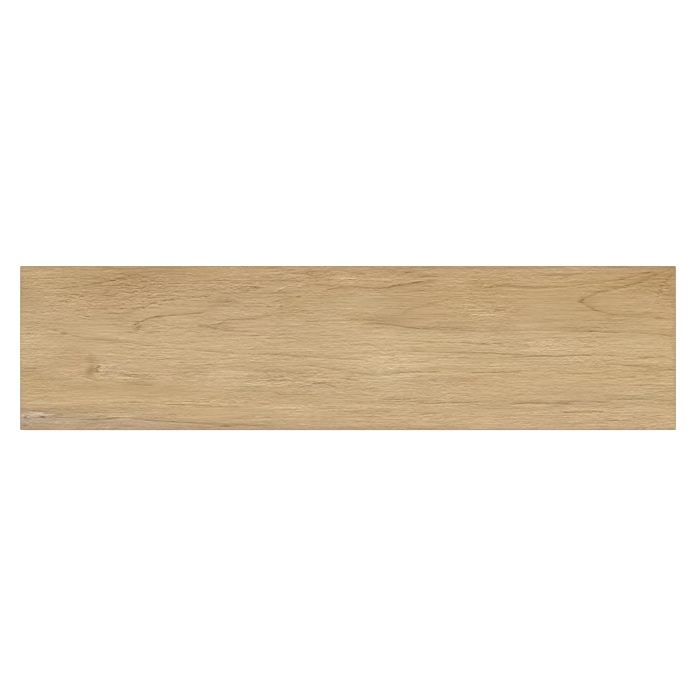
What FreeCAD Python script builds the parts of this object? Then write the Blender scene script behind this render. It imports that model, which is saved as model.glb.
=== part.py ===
# Wood-look porcelain plank tile, rectified, in millimetres.
# The real tile is one piece: porcelain powder is pressed in a die, printed and glazed on its face, fired,
# and ground square on its four edges. So the model is one body, and each feature is one of those steps.
# The tile lies face up: +X runs along the plank, +Y across it, and +Z out of the glazed face.
# The origin is in the middle of the back, in the plane of the ribs that the tile beds on.
import FreeCAD, Part
import enum
import math
import os

import Sketcher

DOCUMENT_NAME = "wood_look_plank_tile"
TILE_NAME = "plank_tile"
PARTS_FOLDER = "parts"
SHEET_NAME = "Sizes"

# The driving sizes: alias, value and meaning. Lengths are in millimetres and angles in degrees.
DRIVING_SIZES = (
    ("TileLength", 600.0, "ground length of the plank"),
    ("TileWidth", 150.0, "ground width of the plank"),
    ("TileThickness", 9.0, "from the rib tops to the glazed face"),
    ("ArrisWidth", 0.6, "bevel ground round the glazed face, at 45 degrees"),
    ("RimLeast", 8.0, "least width of the flat rim round the keyed back"),
    ("KeyCell", 19.5, "side of a key cell at its mouth"),
    ("KeyRib", 3.0, "flat top of the rib between two key cells"),
    ("KeyDepth", 0.7, "depth of a key cell"),
    ("KeyDraft", 40.0, "lean of a key cell's walls, by which the die comes free"),
)

# What follows from them: as many key cells as fit inside the rim, spread evenly about the middle.
# The outermost cell is the one in the +X +Y corner, and the others are copies of it.
FOLLOWING_SIZES = (
    ("KeyPitch", "=KeyCell + KeyRib", "from one key cell to the next"),
    ("KeyColumns", "=floor((TileLength - 2 * RimLeast + KeyRib) / KeyPitch)", "key cells along the plank"),
    ("KeyRows", "=floor((TileWidth - 2 * RimLeast + KeyRib) / KeyPitch)", "key cells across the plank"),
    ("OuterCellX", "=(KeyColumns - 1) * KeyPitch / 2", "middle of the outermost key cell, along"),
    ("OuterCellY", "=(KeyRows - 1) * KeyPitch / 2", "middle of the outermost key cell, across"),
)

# The corners of a rectangle about its middle, anticlockwise from the one in front on the left.
CORNER_SIGNS = ((-1, -1), (1, -1), (1, 1), (-1, 1))

# How far an edge may lie from a height and still count as level with it, and the share by which the volume
# of the key cells may differ from its formula.
HEIGHT_SLACK = 1e-6
VOLUME_SLACK = 1e-3


class End(enum.IntEnum):
    """The end of a sketched line that a constraint holds on to. A point has only a start."""

    START = 1
    FINISH = 2


# The sketch's own origin, as a constraint names it.
SKETCH_ORIGIN = (-1, End.START)


def make_size_sheet(doc):
    """Writes every size on a row of its own: its meaning, its value and, as the value's alias, its name."""
    sheet = doc.addObject("Spreadsheet::Sheet", SHEET_NAME)
    driving = [(alias, str(value), meaning) for alias, value, meaning in DRIVING_SIZES]
    for row, (alias, content, meaning) in enumerate(driving + list(FOLLOWING_SIZES), start=1):
        sheet.set(f"A{row}", meaning)
        sheet.set(f"B{row}", content)
        sheet.setAlias(f"B{row}", alias)
    doc.recompute()
    return sheet


def origin_feature(body, role):
    """Gives one of the body's own origin planes or axes."""
    return next(feature for feature in body.Origin.OriginFeatures if feature.Role == role)


def new_sketch(body, name):
    """Adds a sketch in the plane that the tile beds on."""
    sketch = body.newObject("Sketcher::SketchObject", name)
    sketch.AttachmentSupport = [(origin_feature(body, "XY_Plane"), "")]
    sketch.MapMode = "FlatFace"
    return sketch


def constrain(sketch, kind, *places):
    """Adds a constraint of form, such as a tangent or a level line."""
    sketch.addConstraint(Sketcher.Constraint(kind, *places))


def dimension(sketch, name, kind, places, alias):
    """Adds a dimension that follows one size of the sheet."""
    size = getattr(sketch.Document.getObject(SHEET_NAME), alias)
    index = sketch.addConstraint(Sketcher.Constraint(kind, *places, float(size)))
    sketch.renameConstraint(index, name)
    sketch.setExpression(f"Constraints.{name}", f"{SHEET_NAME}.{alias}")


def draw_rectangle(sketch, middle, along, across):
    """Draws a level rectangle about a middle, its two sides sized by aliases. Gives its centre point."""
    sheet = sketch.Document.getObject(SHEET_NAME)
    half_x = getattr(sheet, along) / 2
    half_y = getattr(sheet, across) / 2
    corners = [middle + FreeCAD.Vector(x * half_x, y * half_y, 0) for x, y in CORNER_SIGNS]
    front, right, back, left = (
        sketch.addGeometry(Part.LineSegment(corner, following))
        for corner, following in zip(corners, corners[1:] + corners[:1])
    )
    for side, following in ((front, right), (right, back), (back, left), (left, front)):
        constrain(sketch, "Coincident", side, End.FINISH, following, End.START)
    for side in (front, back):
        constrain(sketch, "Horizontal", side)
    for side in (right, left):
        constrain(sketch, "Vertical", side)
    dimension(sketch, "Along", "DistanceX", (front, End.START, front, End.FINISH), along)
    dimension(sketch, "Across", "DistanceY", (right, End.START, right, End.FINISH), across)
    centre = sketch.addGeometry(Part.Point(middle), True)
    constrain(sketch, "Symmetric", front, End.START, back, End.START, centre, End.START)
    return centre


def press_blank(body):
    """Presses the plain slab: the plank's outline, raised to the tile's thickness."""
    outline = new_sketch(body, "BlankOutline")
    centre = draw_rectangle(outline, FreeCAD.Vector(), "TileLength", "TileWidth")
    constrain(outline, "Coincident", centre, End.START, *SKETCH_ORIGIN)
    blank = body.newObject("PartDesign::Pad", "PressedBlank")
    blank.Profile = outline
    blank.setExpression("Length", f"{SHEET_NAME}.TileThickness")
    body.Document.recompute()
    return blank


def level_edges(shape, height):
    """Names the edges that lie level at one height."""
    return [
        f"Edge{number}"
        for number, edge in enumerate(shape.Edges, start=1)
        if all(abs(vertex.Z - height) < HEIGHT_SLACK for vertex in edge.Vertexes)
    ]


def grind_arris(body, sheet, blank):
    """Bevels the four edges of the glazed face."""
    arris = body.newObject("PartDesign::Chamfer", "GroundArris")
    arris.Base = (blank, level_edges(blank.Shape, sheet.TileThickness))
    arris.setExpression("Size", f"{SHEET_NAME}.ArrisWidth")
    body.Document.recompute()


def key_cell_volume(sheet):
    """Works out one key cell from its mouth, its middle section and its floor, by Simpson's rule."""
    depth = sheet.KeyDepth
    inward = depth * math.tan(math.radians(sheet.KeyDraft))
    mouth, middle, floor = ((sheet.KeyCell - lean) ** 2 for lean in (0, inward, 2 * inward))
    return depth * (mouth + 4 * middle + floor) / 6


def press_key_cell(body, sheet):
    """Presses the outermost key cell into the back, narrower towards its floor."""
    mouth = new_sketch(body, "KeyCellMouth")
    middle = FreeCAD.Vector(sheet.OuterCellX, sheet.OuterCellY, 0)
    centre = draw_rectangle(mouth, middle, "KeyCell", "KeyCell")
    dimension(mouth, "AlongPlank", "DistanceX", (*SKETCH_ORIGIN, centre, End.START), "OuterCellX")
    dimension(mouth, "AcrossPlank", "DistanceY", (*SKETCH_ORIGIN, centre, End.START), "OuterCellY")
    cell = body.newObject("PartDesign::Pocket", "KeyCell")
    cell.Profile = mouth
    cell.Reversed = True
    cell.setExpression("Length", f"{SHEET_NAME}.KeyDepth")
    cell.setExpression("TaperAngle", f"-{SHEET_NAME}.KeyDraft")
    body.Document.recompute()
    return cell


def repeat_key_cell(body, cell):
    """Repeats the outermost key cell along and across the back, towards the opposite corner."""
    cells = body.newObject("PartDesign::LinearPattern", "KeyCells")
    cells.Originals = [cell]
    cells.Direction = (origin_feature(body, "X_Axis"), [""])
    cells.Direction2 = (origin_feature(body, "Y_Axis"), [""])
    cells.Reversed = True
    cells.Reversed2 = True
    cells.Mode = "Extent"
    cells.Mode2 = "Extent"
    cells.setExpression("Length", f"2 * {SHEET_NAME}.OuterCellX")
    cells.setExpression("Length2", f"2 * {SHEET_NAME}.OuterCellY")
    cells.setExpression("Occurrences", f"{SHEET_NAME}.KeyColumns")
    cells.setExpression("Occurrences2", f"{SHEET_NAME}.KeyRows")
    body.Tip = cells
    body.Document.recompute()


def key_back(body, sheet):
    """Keys the back, where the adhesive takes hold, and stops if any cell is missing or points away."""
    before = body.Shape.Volume
    cell = press_key_cell(body, sheet)
    repeat_key_cell(body, cell)
    expected = sheet.KeyColumns * sheet.KeyRows * key_cell_volume(sheet)
    pressed = before - body.Shape.Volume
    if abs(pressed - expected) > VOLUME_SLACK * expected:
        raise RuntimeError(f"the key cells measure {pressed:.1f} mm3 and should be {expected:.1f} mm3")


def make_plank_tile(doc, sheet):
    """Makes the tile: the pressed blank, its ground arris and its keyed back."""
    body = doc.addObject("PartDesign::Body", TILE_NAME)
    body.Label = TILE_NAME
    blank = press_blank(body)
    grind_arris(body, sheet, blank)
    key_back(body, sheet)
    return body


def check_document(doc, pieces):
    """Stops if any feature failed, or if a piece isn't one sound solid."""
    for feature in doc.Objects:
        if "Invalid" in feature.State or "Error" in feature.State:
            raise RuntimeError(f"{feature.Label} failed: {feature.State}")
    for piece in pieces:
        if piece.Shape.isNull() or not piece.Shape.isValid() or len(piece.Shape.Solids) != 1:
            raise RuntimeError(f"{piece.Label} isn't one valid solid")


def write_pieces(pieces):
    """Writes each piece to a STEP file with the piece's name."""
    os.makedirs(PARTS_FOLDER, exist_ok=True)
    for piece in pieces:
        piece.Shape.exportStep(os.path.join(PARTS_FOLDER, f"{piece.Label}.step"))
        print(f"{piece.Label}: {piece.Shape.Volume:.0f} mm3, {piece.Shape.BoundBox}")


document = FreeCAD.newDocument(DOCUMENT_NAME)
size_sheet = make_size_sheet(document)
tile_pieces = [make_plank_tile(document, size_sheet)]
check_document(document, tile_pieces)
write_pieces(tile_pieces)
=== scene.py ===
"""Dresses the wood-look porcelain plank tile: printed matt face, ground sides and keyed back.

The tile is one fired piece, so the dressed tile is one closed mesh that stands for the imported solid. Its
face carries the printed figure of a plain-sawn oak board, and a shallow relief that is pressed in register
with it. Sizes are in millimetres, with +X along the plank and +Y up in the picture. The mesh is in metres.
"""
import logging
import math
from dataclasses import dataclass, field
from enum import Enum
from typing import Any, Mapping, Sequence

import bpy
import numpy as np
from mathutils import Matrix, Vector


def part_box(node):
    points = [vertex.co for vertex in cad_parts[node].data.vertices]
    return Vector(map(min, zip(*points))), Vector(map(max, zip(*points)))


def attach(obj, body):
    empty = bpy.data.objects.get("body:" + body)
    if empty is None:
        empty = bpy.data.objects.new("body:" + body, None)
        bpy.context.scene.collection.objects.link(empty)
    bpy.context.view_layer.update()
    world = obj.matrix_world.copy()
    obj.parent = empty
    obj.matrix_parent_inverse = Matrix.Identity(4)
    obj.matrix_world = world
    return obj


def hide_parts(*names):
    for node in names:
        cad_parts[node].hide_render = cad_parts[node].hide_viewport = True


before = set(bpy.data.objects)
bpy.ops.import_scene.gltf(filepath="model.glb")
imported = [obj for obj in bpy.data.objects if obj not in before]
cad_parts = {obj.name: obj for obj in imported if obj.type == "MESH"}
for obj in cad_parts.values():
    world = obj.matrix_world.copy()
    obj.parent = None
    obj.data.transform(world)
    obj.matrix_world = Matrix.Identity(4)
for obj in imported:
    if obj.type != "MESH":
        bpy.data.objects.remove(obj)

LOG = logging.getLogger("plank_tile")

MM = 0.001
NODE = "plank_tile"

# Mesh attributes through which the figure reaches the face's material.
WASH = "print_wash"
LINE_OFFSET = "growth_offset_"
LINE_INK = "growth_ink_"
KNOT_INK = "knot_ink"
ACROSS = "across_grain"
STIPPLE = "stipple_share"
PRESSED = "pressed_grain"
DEPTH_GROUP = "grain_depth"
BAKE_MAP = "OFBake"

# What one level of lighter, redder and yellower each does to the red, green and blue levels.
TINT_TO_LEVELS = ((1.0, 1.0, 1.0), (0.6, -0.4, 0.0), (0.3, 0.1, -0.8))

# The noise texture stays within about a quarter of its middle, and this brings it to about 1.
NOISE_GAIN = 4.0

# How far apart the rows of dashes may start, in dashes, so that no two rows are alike.
DASH_SCATTER = 997.0

# Large odd numbers that scatter whole numbers, and the lowest 32 and 16 bits of what comes out.
SCATTER = (374761393, 668265263, 974634777, 1274126177)
LOW_32_BITS = 0xFFFFFFFF
LOW_16_BITS = 0xFFFF

Colour = tuple[float, float, float, float]
WHITE: Colour = (1.0, 1.0, 1.0, 1.0)


class Pigment(Enum):
    """What a full-strength wash of the print does to the face: lighter, redder and yellower, in levels."""

    LIGHT = (10.0, 0.0, 0.0)
    SHADE = (-10.0, 0.0, 0.0)
    ROSE = (0.0, 4.0, 0.0)
    MOSS = (0.0, -4.0, 0.0)
    OCHRE = (0.0, 0.0, 6.5)
    CHALK = (0.0, 0.0, -6.5)
    ASH = (0.0, -3.0, -13.0)


class Zone(Enum):
    """The tile's surfaces, each with its own finish. The value is the material index on the mesh."""

    FACE = 0
    BODY = 1
    BACK = 2


class LateWood(Enum):
    """The side of a growth line on which the darker late wood lies. The value is that side's sign."""

    ABOVE = 1.0
    BELOW = -1.0


def lumps(u: np.ndarray, v: np.ndarray, seed: int) -> np.ndarray:
    """Gives smooth noise between -1 and 1, with about one lump in each unit square.

    Args:
        u: First coordinate of each place.
        v: Second coordinate of each place.
        seed: Picks one pattern out of many.

    Returns:
        The noise at each place.
    """
    column, row = np.floor(u).astype(np.int64), np.floor(v).astype(np.int64)
    across, down = u - column, v - row
    across, down = across * across * (3 - 2 * across), down * down * (3 - 2 * down)

    def corner(i: np.ndarray, j: np.ndarray) -> np.ndarray:
        """Scatters a value between -1 and 1 over the corners of the squares."""
        mixed = (i * SCATTER[0] + j * SCATTER[1] + seed * SCATTER[2]) & LOW_32_BITS
        mixed = ((mixed ^ (mixed >> 13)) * SCATTER[3]) & LOW_32_BITS
        return ((mixed ^ (mixed >> 16)) & LOW_16_BITS) / (LOW_16_BITS / 2) - 1

    top = corner(column, row) * (1 - across) + corner(column + 1, row) * across
    bottom = corner(column, row + 1) * (1 - across) + corner(column + 1, row + 1) * across
    return top * (1 - down) + bottom * down


def smooth_step(low: float, high: float, value: np.ndarray) -> np.ndarray:
    """Rises smoothly from 0 at low to 1 at high."""
    share = np.clip((value - low) / (high - low), 0, 1)
    return share * share * (3 - 2 * share)


def to_linear(levels: np.ndarray) -> np.ndarray:
    """Turns display levels from 0 to 255 into linear light from 0 to 1."""
    signal = np.clip(levels / 255, 0, 1)
    return np.where(signal <= 0.04045, signal / 12.92, ((signal + 0.055) / 1.055) ** 2.4)


@dataclass(frozen=True)
class Unevenness:
    """A smooth unevenness: how strong it is, how long and wide its lumps are, and which pattern it is."""

    strength: float
    along: float
    across: float
    seed: int

    def at(self, x: np.ndarray, y: np.ndarray) -> np.ndarray:
        """Gives it at each place, as much above zero as below."""
        return self.strength * lumps(x / self.along, y / self.across, self.seed)


@dataclass(frozen=True)
class Patch:
    """A soft-edged oval of the face: how strong it is, its middle and its half-sizes."""

    strength: float
    x: float
    y: float
    along: float
    across: float

    def far(self, x: np.ndarray, y: np.ndarray) -> np.ndarray:
        """Gives how far each place is from the middle, as a share of the half-sizes."""
        return np.hypot((x - self.x) / self.along, (y - self.y) / self.across)

    def cover(self, x: np.ndarray, y: np.ndarray) -> np.ndarray:
        """Gives how strongly it covers each place."""
        return self.strength * np.exp(-(self.far(x, y) ** 2))


def patches(*rows: tuple[float, float, float, float, float]) -> tuple[Patch, ...]:
    """Makes a patch of each row: its strength, x, y, and its half-sizes along and across the plank."""
    return tuple(Patch(*row) for row in rows)


@dataclass(frozen=True)
class GrowthLine:
    """A dark line of the figure, drawn through a few points from left to right.

    A line whose strength is below 0 is pale.
    """

    strength: float
    width: float
    points: tuple[tuple[float, float], ...]
    late_wood: LateWood = LateWood.ABOVE

    @property
    def ends(self) -> tuple[float, float]:
        """Gives where along the plank it starts and ends."""
        return self.points[0][0], self.points[-1][0]

    def height(self, x: np.ndarray) -> np.ndarray:
        """Follows a smooth curve through the points, level beyond its ends.

        Args:
            x: Where the line is read.

        Returns:
            The line's place across the plank at each x.
        """
        points_x, points_y = np.array(self.points, float).T
        slopes = np.gradient(points_y, points_x)
        x = np.clip(x, points_x[0], points_x[-1])
        span = np.clip(np.searchsorted(points_x, x, side="right") - 1, 0, len(points_x) - 2)
        gap = points_x[span + 1] - points_x[span]
        share = (x - points_x[span]) / gap
        rise = share * share * (3 - 2 * share)
        bend_in = share * (1 - share) ** 2 * gap * slopes[span]
        bend_out = share * share * (share - 1) * gap * slopes[span + 1]
        return points_y[span] * (1 - rise) + points_y[span + 1] * rise + bend_in + bend_out

    def beyond(self, x: np.ndarray) -> np.ndarray:
        """Gives how far each x is past the nearer end, less than 0 between the ends."""
        start, end = self.ends
        return np.maximum(start - x, x - end)

    def comes_near(self, other: "GrowthLine", past: float, gap: float, places: int = 40) -> bool:
        """Tells whether two lines run near each other.

        Args:
            other: The other line.
            past: How far past its ends a line still counts.
            gap: The least distance between two lines that aren't near.
            places: At how many places they are compared.

        Returns:
            Whether they come nearer than the gap anywhere.
        """
        left = max(self.ends[0], other.ends[0]) - past
        right = min(self.ends[1], other.ends[1]) + past
        if left > right:
            return False
        shared = np.linspace(left, right, places)
        return bool(np.abs(self.height(shared) - other.height(shared)).min() < gap)


# The figure's washes, lines, knots and stipple, all placed one by one.
WASHES = {
    Pigment.SHADE: patches(
        # Bands along much of the plank.
        (1.0, 0, 74.3, 600, 0.7), (0.35, 0, 62, 420, 26), (0.25, 0, 46, 420, 22),
        # The left quarter, from the rear edge to the front edge.
        (0.4, -165, 70, 45, 8), (0.3, -285, 62, 14, 5), (1.0, -205, 61, 50, 13), (0.3, -298, 60, 10, 8),
        (0.5, -296, 50, 14, 12), (0.45, -208, 36, 26, 14), (0.3, -262, 28, 26, 4),
        (0.9, -191.5, 20.5, 6, 4.5), (0.3, -272, 17, 18, 5), (0.25, -255, 15, 12, 5),
        (0.35, -240, 7, 22, 3), (0.3, -240, 6, 30, 3), (0.25, -200, 5, 24, 3), (0.4, -299.6, 0, 0.9, 90),
        (0.6, -252, -5, 24, 5), (0.5, -244, -11, 14, 6), (1.2, -234, -11, 6.5, 3.8),
        (0.3, -256, -14, 12, 4), (0.4, -228, -19, 16, 4), (0.9, -292, -20, 18, 4),
        (1.6, -230, -21.5, 4, 4.5), (0.3, -275, -26, 20, 4), (0.6, -272, -27, 26, 4),
        (0.8, -194, -32, 14, 4), (0.2, -232, -34, 24, 5), (0.3, -228, -35, 16, 3),
        (0.4, -240, -36, 50, 3), (0.3, -285, -38, 25, 5), (0.6, -162, -38, 26, 4),
        (0.4, -225, -45, 50, 3), (0.6, -270, -56, 34, 3), (0.25, -220, -57, 50, 2.5),
        (0.4, -232, -59, 30, 3), (0.45, -280, -60, 45, 6), (0.5, -272, -66, 16, 5),
        (0.7, -228, -68, 20, 5), (0.5, -284, -69, 16, 3), (0.6, -298, -70, 8, 5), (0.4, -272, -70, 14, 4),
        (0.8, -290, -74, 25, 3),
        # From there to the middle.
        (0.2, -95, 73, 60, 3), (0.35, -16, 62, 14, 4), (0.25, -24, 59, 12, 5), (0.5, -115, 50, 30, 5),
        (0.55, -118, 41, 14, 4), (0.3, -55, 37, 20, 4), (0.3, -128, 35, 12, 3), (0.4, -100, 27.6, 14, 2),
        (0.25, -138, 23, 14, 3), (0.65, -118, 20, 18, 5), (0.2, -110, 15, 22, 3), (0.2, -110, 5, 36, 3),
        (0.35, -30, 4, 40, 6), (0.3, -70, -6.5, 30, 2.5), (0.3, -135, -11, 14, 2.5),
        (0.35, -140, -20, 22, 4), (0.3, -120, -20, 34, 3), (0.7, -58, -21, 26, 4),
        (0.3, -150, -29, 16, 4), (0.35, -28, -36, 16, 2.5), (0.35, -90, -38, 30, 12),
        (0.35, -55, -42, 18, 4), (0.5, -122, -47.5, 30, 2.5), (0.3, -80, -52, 50, 2.5),
        (0.25, -140, -56, 34, 5), (0.85, -140, -71, 70, 4),
        # From the middle to the right quarter.
        (0.4, 5, 74, 40, 3), (0.5, 52, 73, 18, 4), (0.3, 5, 68, 26, 3), (0.45, 35, 58, 38, 4),
        (0.45, 131, 57, 12, 6), (0.25, 80, 44, 16, 4), (0.4, 30, 43, 34, 5), (0.15, 145, 33, 32, 6),
        (0.3, 45, 31, 20, 3), (0.9, 32, 26, 26, 5), (0.4, 143, 22, 12, 7), (0.7, 88, 19, 35, 4),
        (0.35, 133, 14, 16, 4), (0.3, 15, -1.5, 26, 3), (0.3, 148, -6, 32, 4), (0.3, 105, -7, 10, 4),
        (0.3, 90, -12, 60, 2.5), (0.3, 22, -12.5, 14, 2.5), (0.35, 92, -22.5, 18, 2.5),
        (0.45, 105, -30, 24, 3), (0.2, 65, -31, 34, 3.5), (0.25, 90, -33, 50, 2.5), (0.5, 45, -50, 16, 3),
        (0.4, 115, -50, 30, 2.5), (0.35, 72, -73, 22, 3), (0.5, 0, -74, 60, 3),
        # The right quarter.
        (1.1, 280, 68, 28, 15), (0.3, 290, 60, 12, 5), (0.4, 298, 58, 6, 14), (0.35, 272, 45, 34, 10),
        (0.35, 293, 45, 8, 6), (0.6, 214, 43, 10, 9), (0.3, 268, 33, 14, 3), (0.4, 238, 32, 18, 4),
        (0.3, 240, 23, 24, 5), (0.5, 210, 15, 32, 5), (0.35, 150, 13, 18, 3.5), (0.4, 298, 12, 8, 4),
        (0.5, 155, 3.5, 16, 2.5), (0.25, 160, 2, 20, 3), (0.25, 205, 1.5, 26, 3),
        (0.5, 299.6, 0, 0.9, 90), (0.7, 285, -19, 35, 3), (0.25, 220, -42, 30, 2.5),
        (0.35, 215, -50, 26, 2), (0.25, 225, -50, 60, 3), (0.4, 292, -50, 12, 3), (0.35, 205, -60, 12, 2),
        (0.35, 285, -64, 14, 3), (0.35, 224, -68, 14, 3),
    ),
    Pigment.LIGHT: patches(
        # Bands along much of the plank.
        (0.45, 0, 0, 420, 16), (0.2, 0, -38, 420, 20),
        # The left quarter, from the rear edge to the front edge.
        (0.35, -285, 62, 14, 8), (0.25, -206, 57, 16, 3), (0.35, -222, 56, 20, 3), (0.4, -168, 44, 60, 3),
        (0.3, -216, 42, 10, 3), (0.25, -207, 35, 12, 5), (0.3, -165, 35, 30, 5), (0.4, -170, 31, 20, 3),
        (0.3, -228, 17, 16, 4), (0.1, -250, 15, 20, 4), (0.4, -205, 15, 14, 3), (0.25, -215, 14, 14, 3),
        (0.4, -298, 12, 8, 6), (0.25, -285, 9, 24, 6), (0.4, -232, -9, 16, 2.5), (0.3, -222, -10, 16, 3),
        (0.3, -298, -14, 8, 6), (0.3, -290, -17, 12, 4), (0.4, -220, -18, 5, 4),
        (0.45, -255, -22.5, 12, 3), (0.15, -208, -27, 12, 3), (0.35, -275, -35, 14, 5),
        (0.4, -215, -47, 50, 3), (0.35, -240, -50, 24, 2.5), (0.3, -190, -50, 30, 2.5),
        (0.35, -168, -51, 24, 2.5), (0.35, -262, -61, 40, 3), (0.25, -278, -68, 20, 3),
        # From there to the middle.
        (0.3, -110, 74, 30, 3), (0.3, -36, 66, 10, 4), (0.25, -5, 62, 12, 6), (0.3, -28, 52, 20, 6),
        (0.3, -110, 51, 40, 5), (0.4, -138, 49, 18, 2.5), (0.25, -60, 44, 14, 3), (0.4, -70, 42, 16, 3),
        (0.5, -102, 33, 24, 4), (0.3, -150, 28, 14, 3), (0.4, -110, 27, 12, 3), (0.25, -30, 27, 40, 3),
        (0.4, -95, 20, 24, 3), (0.25, -98, 17, 18, 2.5), (0.25, -145, 14, 18, 3),
        (0.25, -118, -8, 30, 10), (0.3, -66, -20, 16, 5), (0.45, -108, -23, 26, 4),
        (0.45, -108, -30, 28, 5), (0.4, -27, -32, 16, 2.5), (0.35, -105, -42, 26, 3),
        (0.3, -110, -50, 50, 4), (0.5, -150, -51, 40, 2.5), (0.6, -50, -56, 22, 5),
        (0.45, -112, -57, 62, 4), (0.3, -70, -61, 24, 4), (0.4, -150, -71, 40, 2.5),
        # From the middle to the right quarter.
        (0.35, 22, 61, 30, 4), (0.35, 95, 59, 26, 4), (0.3, 108, 57, 16, 3), (0.3, 116, 53, 12, 2.5),
        (0.3, 5, 50, 24, 8), (0.2, 25, 46, 20, 3), (0.45, 12, 43, 20, 8), (0.3, 58, 36, 16, 3),
        (0.35, 14, 35, 24, 4), (0.45, 120, 32, 20, 6), (0.3, 75, 27, 16, 3), (0.4, 10, 24, 30, 4),
        (0.3, 0, 14, 24, 7), (0.45, 42, 13, 24, 6), (0.35, 84, 9, 50, 4), (0.4, 97, 6, 22, 3),
        (0.3, 25, 2, 30, 4), (0.95, 35, -12, 34, 8), (0.2, 130, -12, 14, 6), (0.3, 80, -16, 24, 2.5),
        (0.25, 70, -17, 24, 3), (0.4, 90, -17, 44, 4), (0.3, 128, -17, 16, 3), (0.25, 90, -25, 30, 2.5),
        (0.35, 90, -25.5, 40, 2.5), (0.55, 33, -26, 30, 4), (0.35, 45, -28, 22, 5), (0.2, 90, -37, 40, 6),
        (0.35, 28, -38, 24, 7), (0.35, 82, -47, 20, 3), (0.5, 20, -53, 34, 3), (0.35, 60, -64, 60, 5),
        (0.45, 116, -66, 32, 5), (0.45, 130, -73, 34, 3),
        # The right quarter.
        (0.45, 268, 68, 16, 4), (0.3, 185, 56, 30, 3), (0.4, 276, 46, 12, 6), (0.45, 256, 43, 18, 7),
        (0.3, 168, 36, 16, 14), (0.35, 220, 35, 10, 3), (0.25, 216, 11, 20, 3), (0.3, 262, 4, 26, 4),
        (0.4, 185, 3, 20, 5), (0.45, 240, -1, 50, 3), (0.35, 178, -4, 30, 3), (0.4, 180, -6, 30, 3),
        (0.2, 202, -8, 16, 5), (0.25, 235, -9, 20, 4), (0.25, 280, -13, 20, 6), (0.3, 290, -15, 20, 3),
        (0.35, 195, -20, 18, 2.5), (0.35, 296, -25, 12, 4), (0.45, 200, -30, 40, 2.5),
        (0.45, 280, -34, 30, 4), (0.35, 240, -41, 22, 3), (0.25, 262, -43, 22, 3), (0.4, 205, -54, 26, 3),
        (0.4, 265, -57, 32, 4), (0.45, 208, -60, 24, 7), (0.25, 160, -64, 34, 3), (0.7, 298, -66, 14, 7),
        (0.4, 230, -71, 26, 3), (0.35, 170, -73, 20, 3),
    ),
    Pigment.ROSE: patches(
        # Bands along much of the plank.
        (0.52, 60, 52, 420, 22), (0.15, 0, 3, 300, 6), (1.1, -210, -77, 170, 5),
        # The left quarter, from the rear edge to the front edge.
        (0.45, -210, 50, 45, 12), (0.3, -290, 45, 12, 8), (0.25, -240, 38, 40, 6), (0.2, -210, 38, 20, 5),
        (0.3, -174, 32, 16, 5), (0.7, -245, -15, 13, 10), (0.4, -248, -22, 10, 5),
        (0.3, -160, -43, 70, 8), (0.4, -299, -60, 10, 5), (0.5, -240, -74, 60, 2.5),
        # From there to the middle.
        (0.3, -90, 60, 26, 5), (0.25, -35, 52, 18, 6), (0.3, -96, 20, 12, 8), (0.18, -20, 3, 60, 5),
        (0.35, -112, -31, 14, 4), (0.3, -78, -55, 14, 4), (0.3, -85, -74, 24, 3),
        # From the middle to the right quarter.
        (0.3, 130, 74, 30, 3), (0.35, 50, 42, 14, 5), (0.3, 65, 30, 20, 8), (0.3, 22, 16, 18, 5),
        (0.3, 100, 16, 90, 8), (0.3, 6, -17, 12, 4), (0.55, 108, -31, 16, 7), (0.1, 115, -40, 26, 4),
        # The right quarter.
        (0.6, 258, 66, 16, 5), (0.6, 280, 66, 24, 12), (0.3, 246, 50, 12, 9), (0.6, 298, 40, 14, 24),
        (0.3, 150, 30, 30, 4), (0.5, 240, 20, 44, 7), (0.25, 165, 12, 50, 4), (0.4, 299, 10, 8, 22),
        (0.35, 286, -4, 12, 5), (0.25, 235, -8, 16, 8), (0.4, 236, -25, 20, 8), (0.3, 242, -40, 18, 5),
        (0.3, 225, -52, 14, 5),
    ),
    Pigment.MOSS: patches(
        # Bands along much of the plank.
        (0.45, 0, 2, 420, 18),
        # The left quarter, from the rear edge to the front edge.
        (0.25, -250, 53, 36, 4), (0.7, -280, 44, 24, 9), (0.35, -160, 36, 70, 14), (0.2, -200, 28, 60, 6),
        (0.6, -296, 8, 16, 30), (0.3, -262, -18, 10, 5), (0.25, -258, -20, 16, 5),
        (0.25, -170, -27, 50, 6), (0.3, -268, -31, 18, 6), (0.3, -170, -42, 26, 4),
        (0.3, -292, -44, 14, 8), (0.4, -292, -45, 14, 6), (0.3, -205, -50, 20, 10),
        # From there to the middle.
        (0.35, -60, 54, 24, 6), (0.2, -150, 50, 26, 5), (0.35, -10, 44, 60, 10), (0.2, -92, 39, 22, 4),
        (0.5, -26, 30, 14, 6), (0.2, -20, 25, 26, 6), (0.25, -80, 8, 12, 5), (0.25, -80, -24, 14, 5),
        (0.3, -100, -35, 26, 8), (0.25, -75, -36, 40, 9), (0.35, -120, -43, 20, 4),
        (0.3, -40, -54, 26, 5), (0.3, -145, -60, 16, 5), (0.4, -78, -62, 26, 5), (0.3, -85, -65, 26, 4),
        (0.3, -146, -70, 16, 4),
        # From the middle to the right quarter.
        (0.1, 2, 52, 10, 5), (0.6, 10, 44, 34, 6), (0.35, 108, 31, 16, 6), (0.25, 66, 14, 14, 4),
        (0.6, 32, -17, 24, 6), (0.3, 85, -19, 22, 4), (0.3, 28, -26, 18, 4), (0.28, 60, -40, 80, 18),
        (0.25, 110, -41, 12, 6), (0.25, 40, -55, 70, 5),
        # The right quarter.
        (0.4, 268, 58, 14, 6), (0.5, 282, 58, 12, 6), (0.25, 150, 55, 90, 10), (0.3, 298, 38, 6, 8),
        (0.35, 290, 22, 10, 5), (0.4, 298, -12, 6, 6), (0.3, 250, -21, 14, 5), (0.4, 298, -28, 8, 5),
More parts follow.
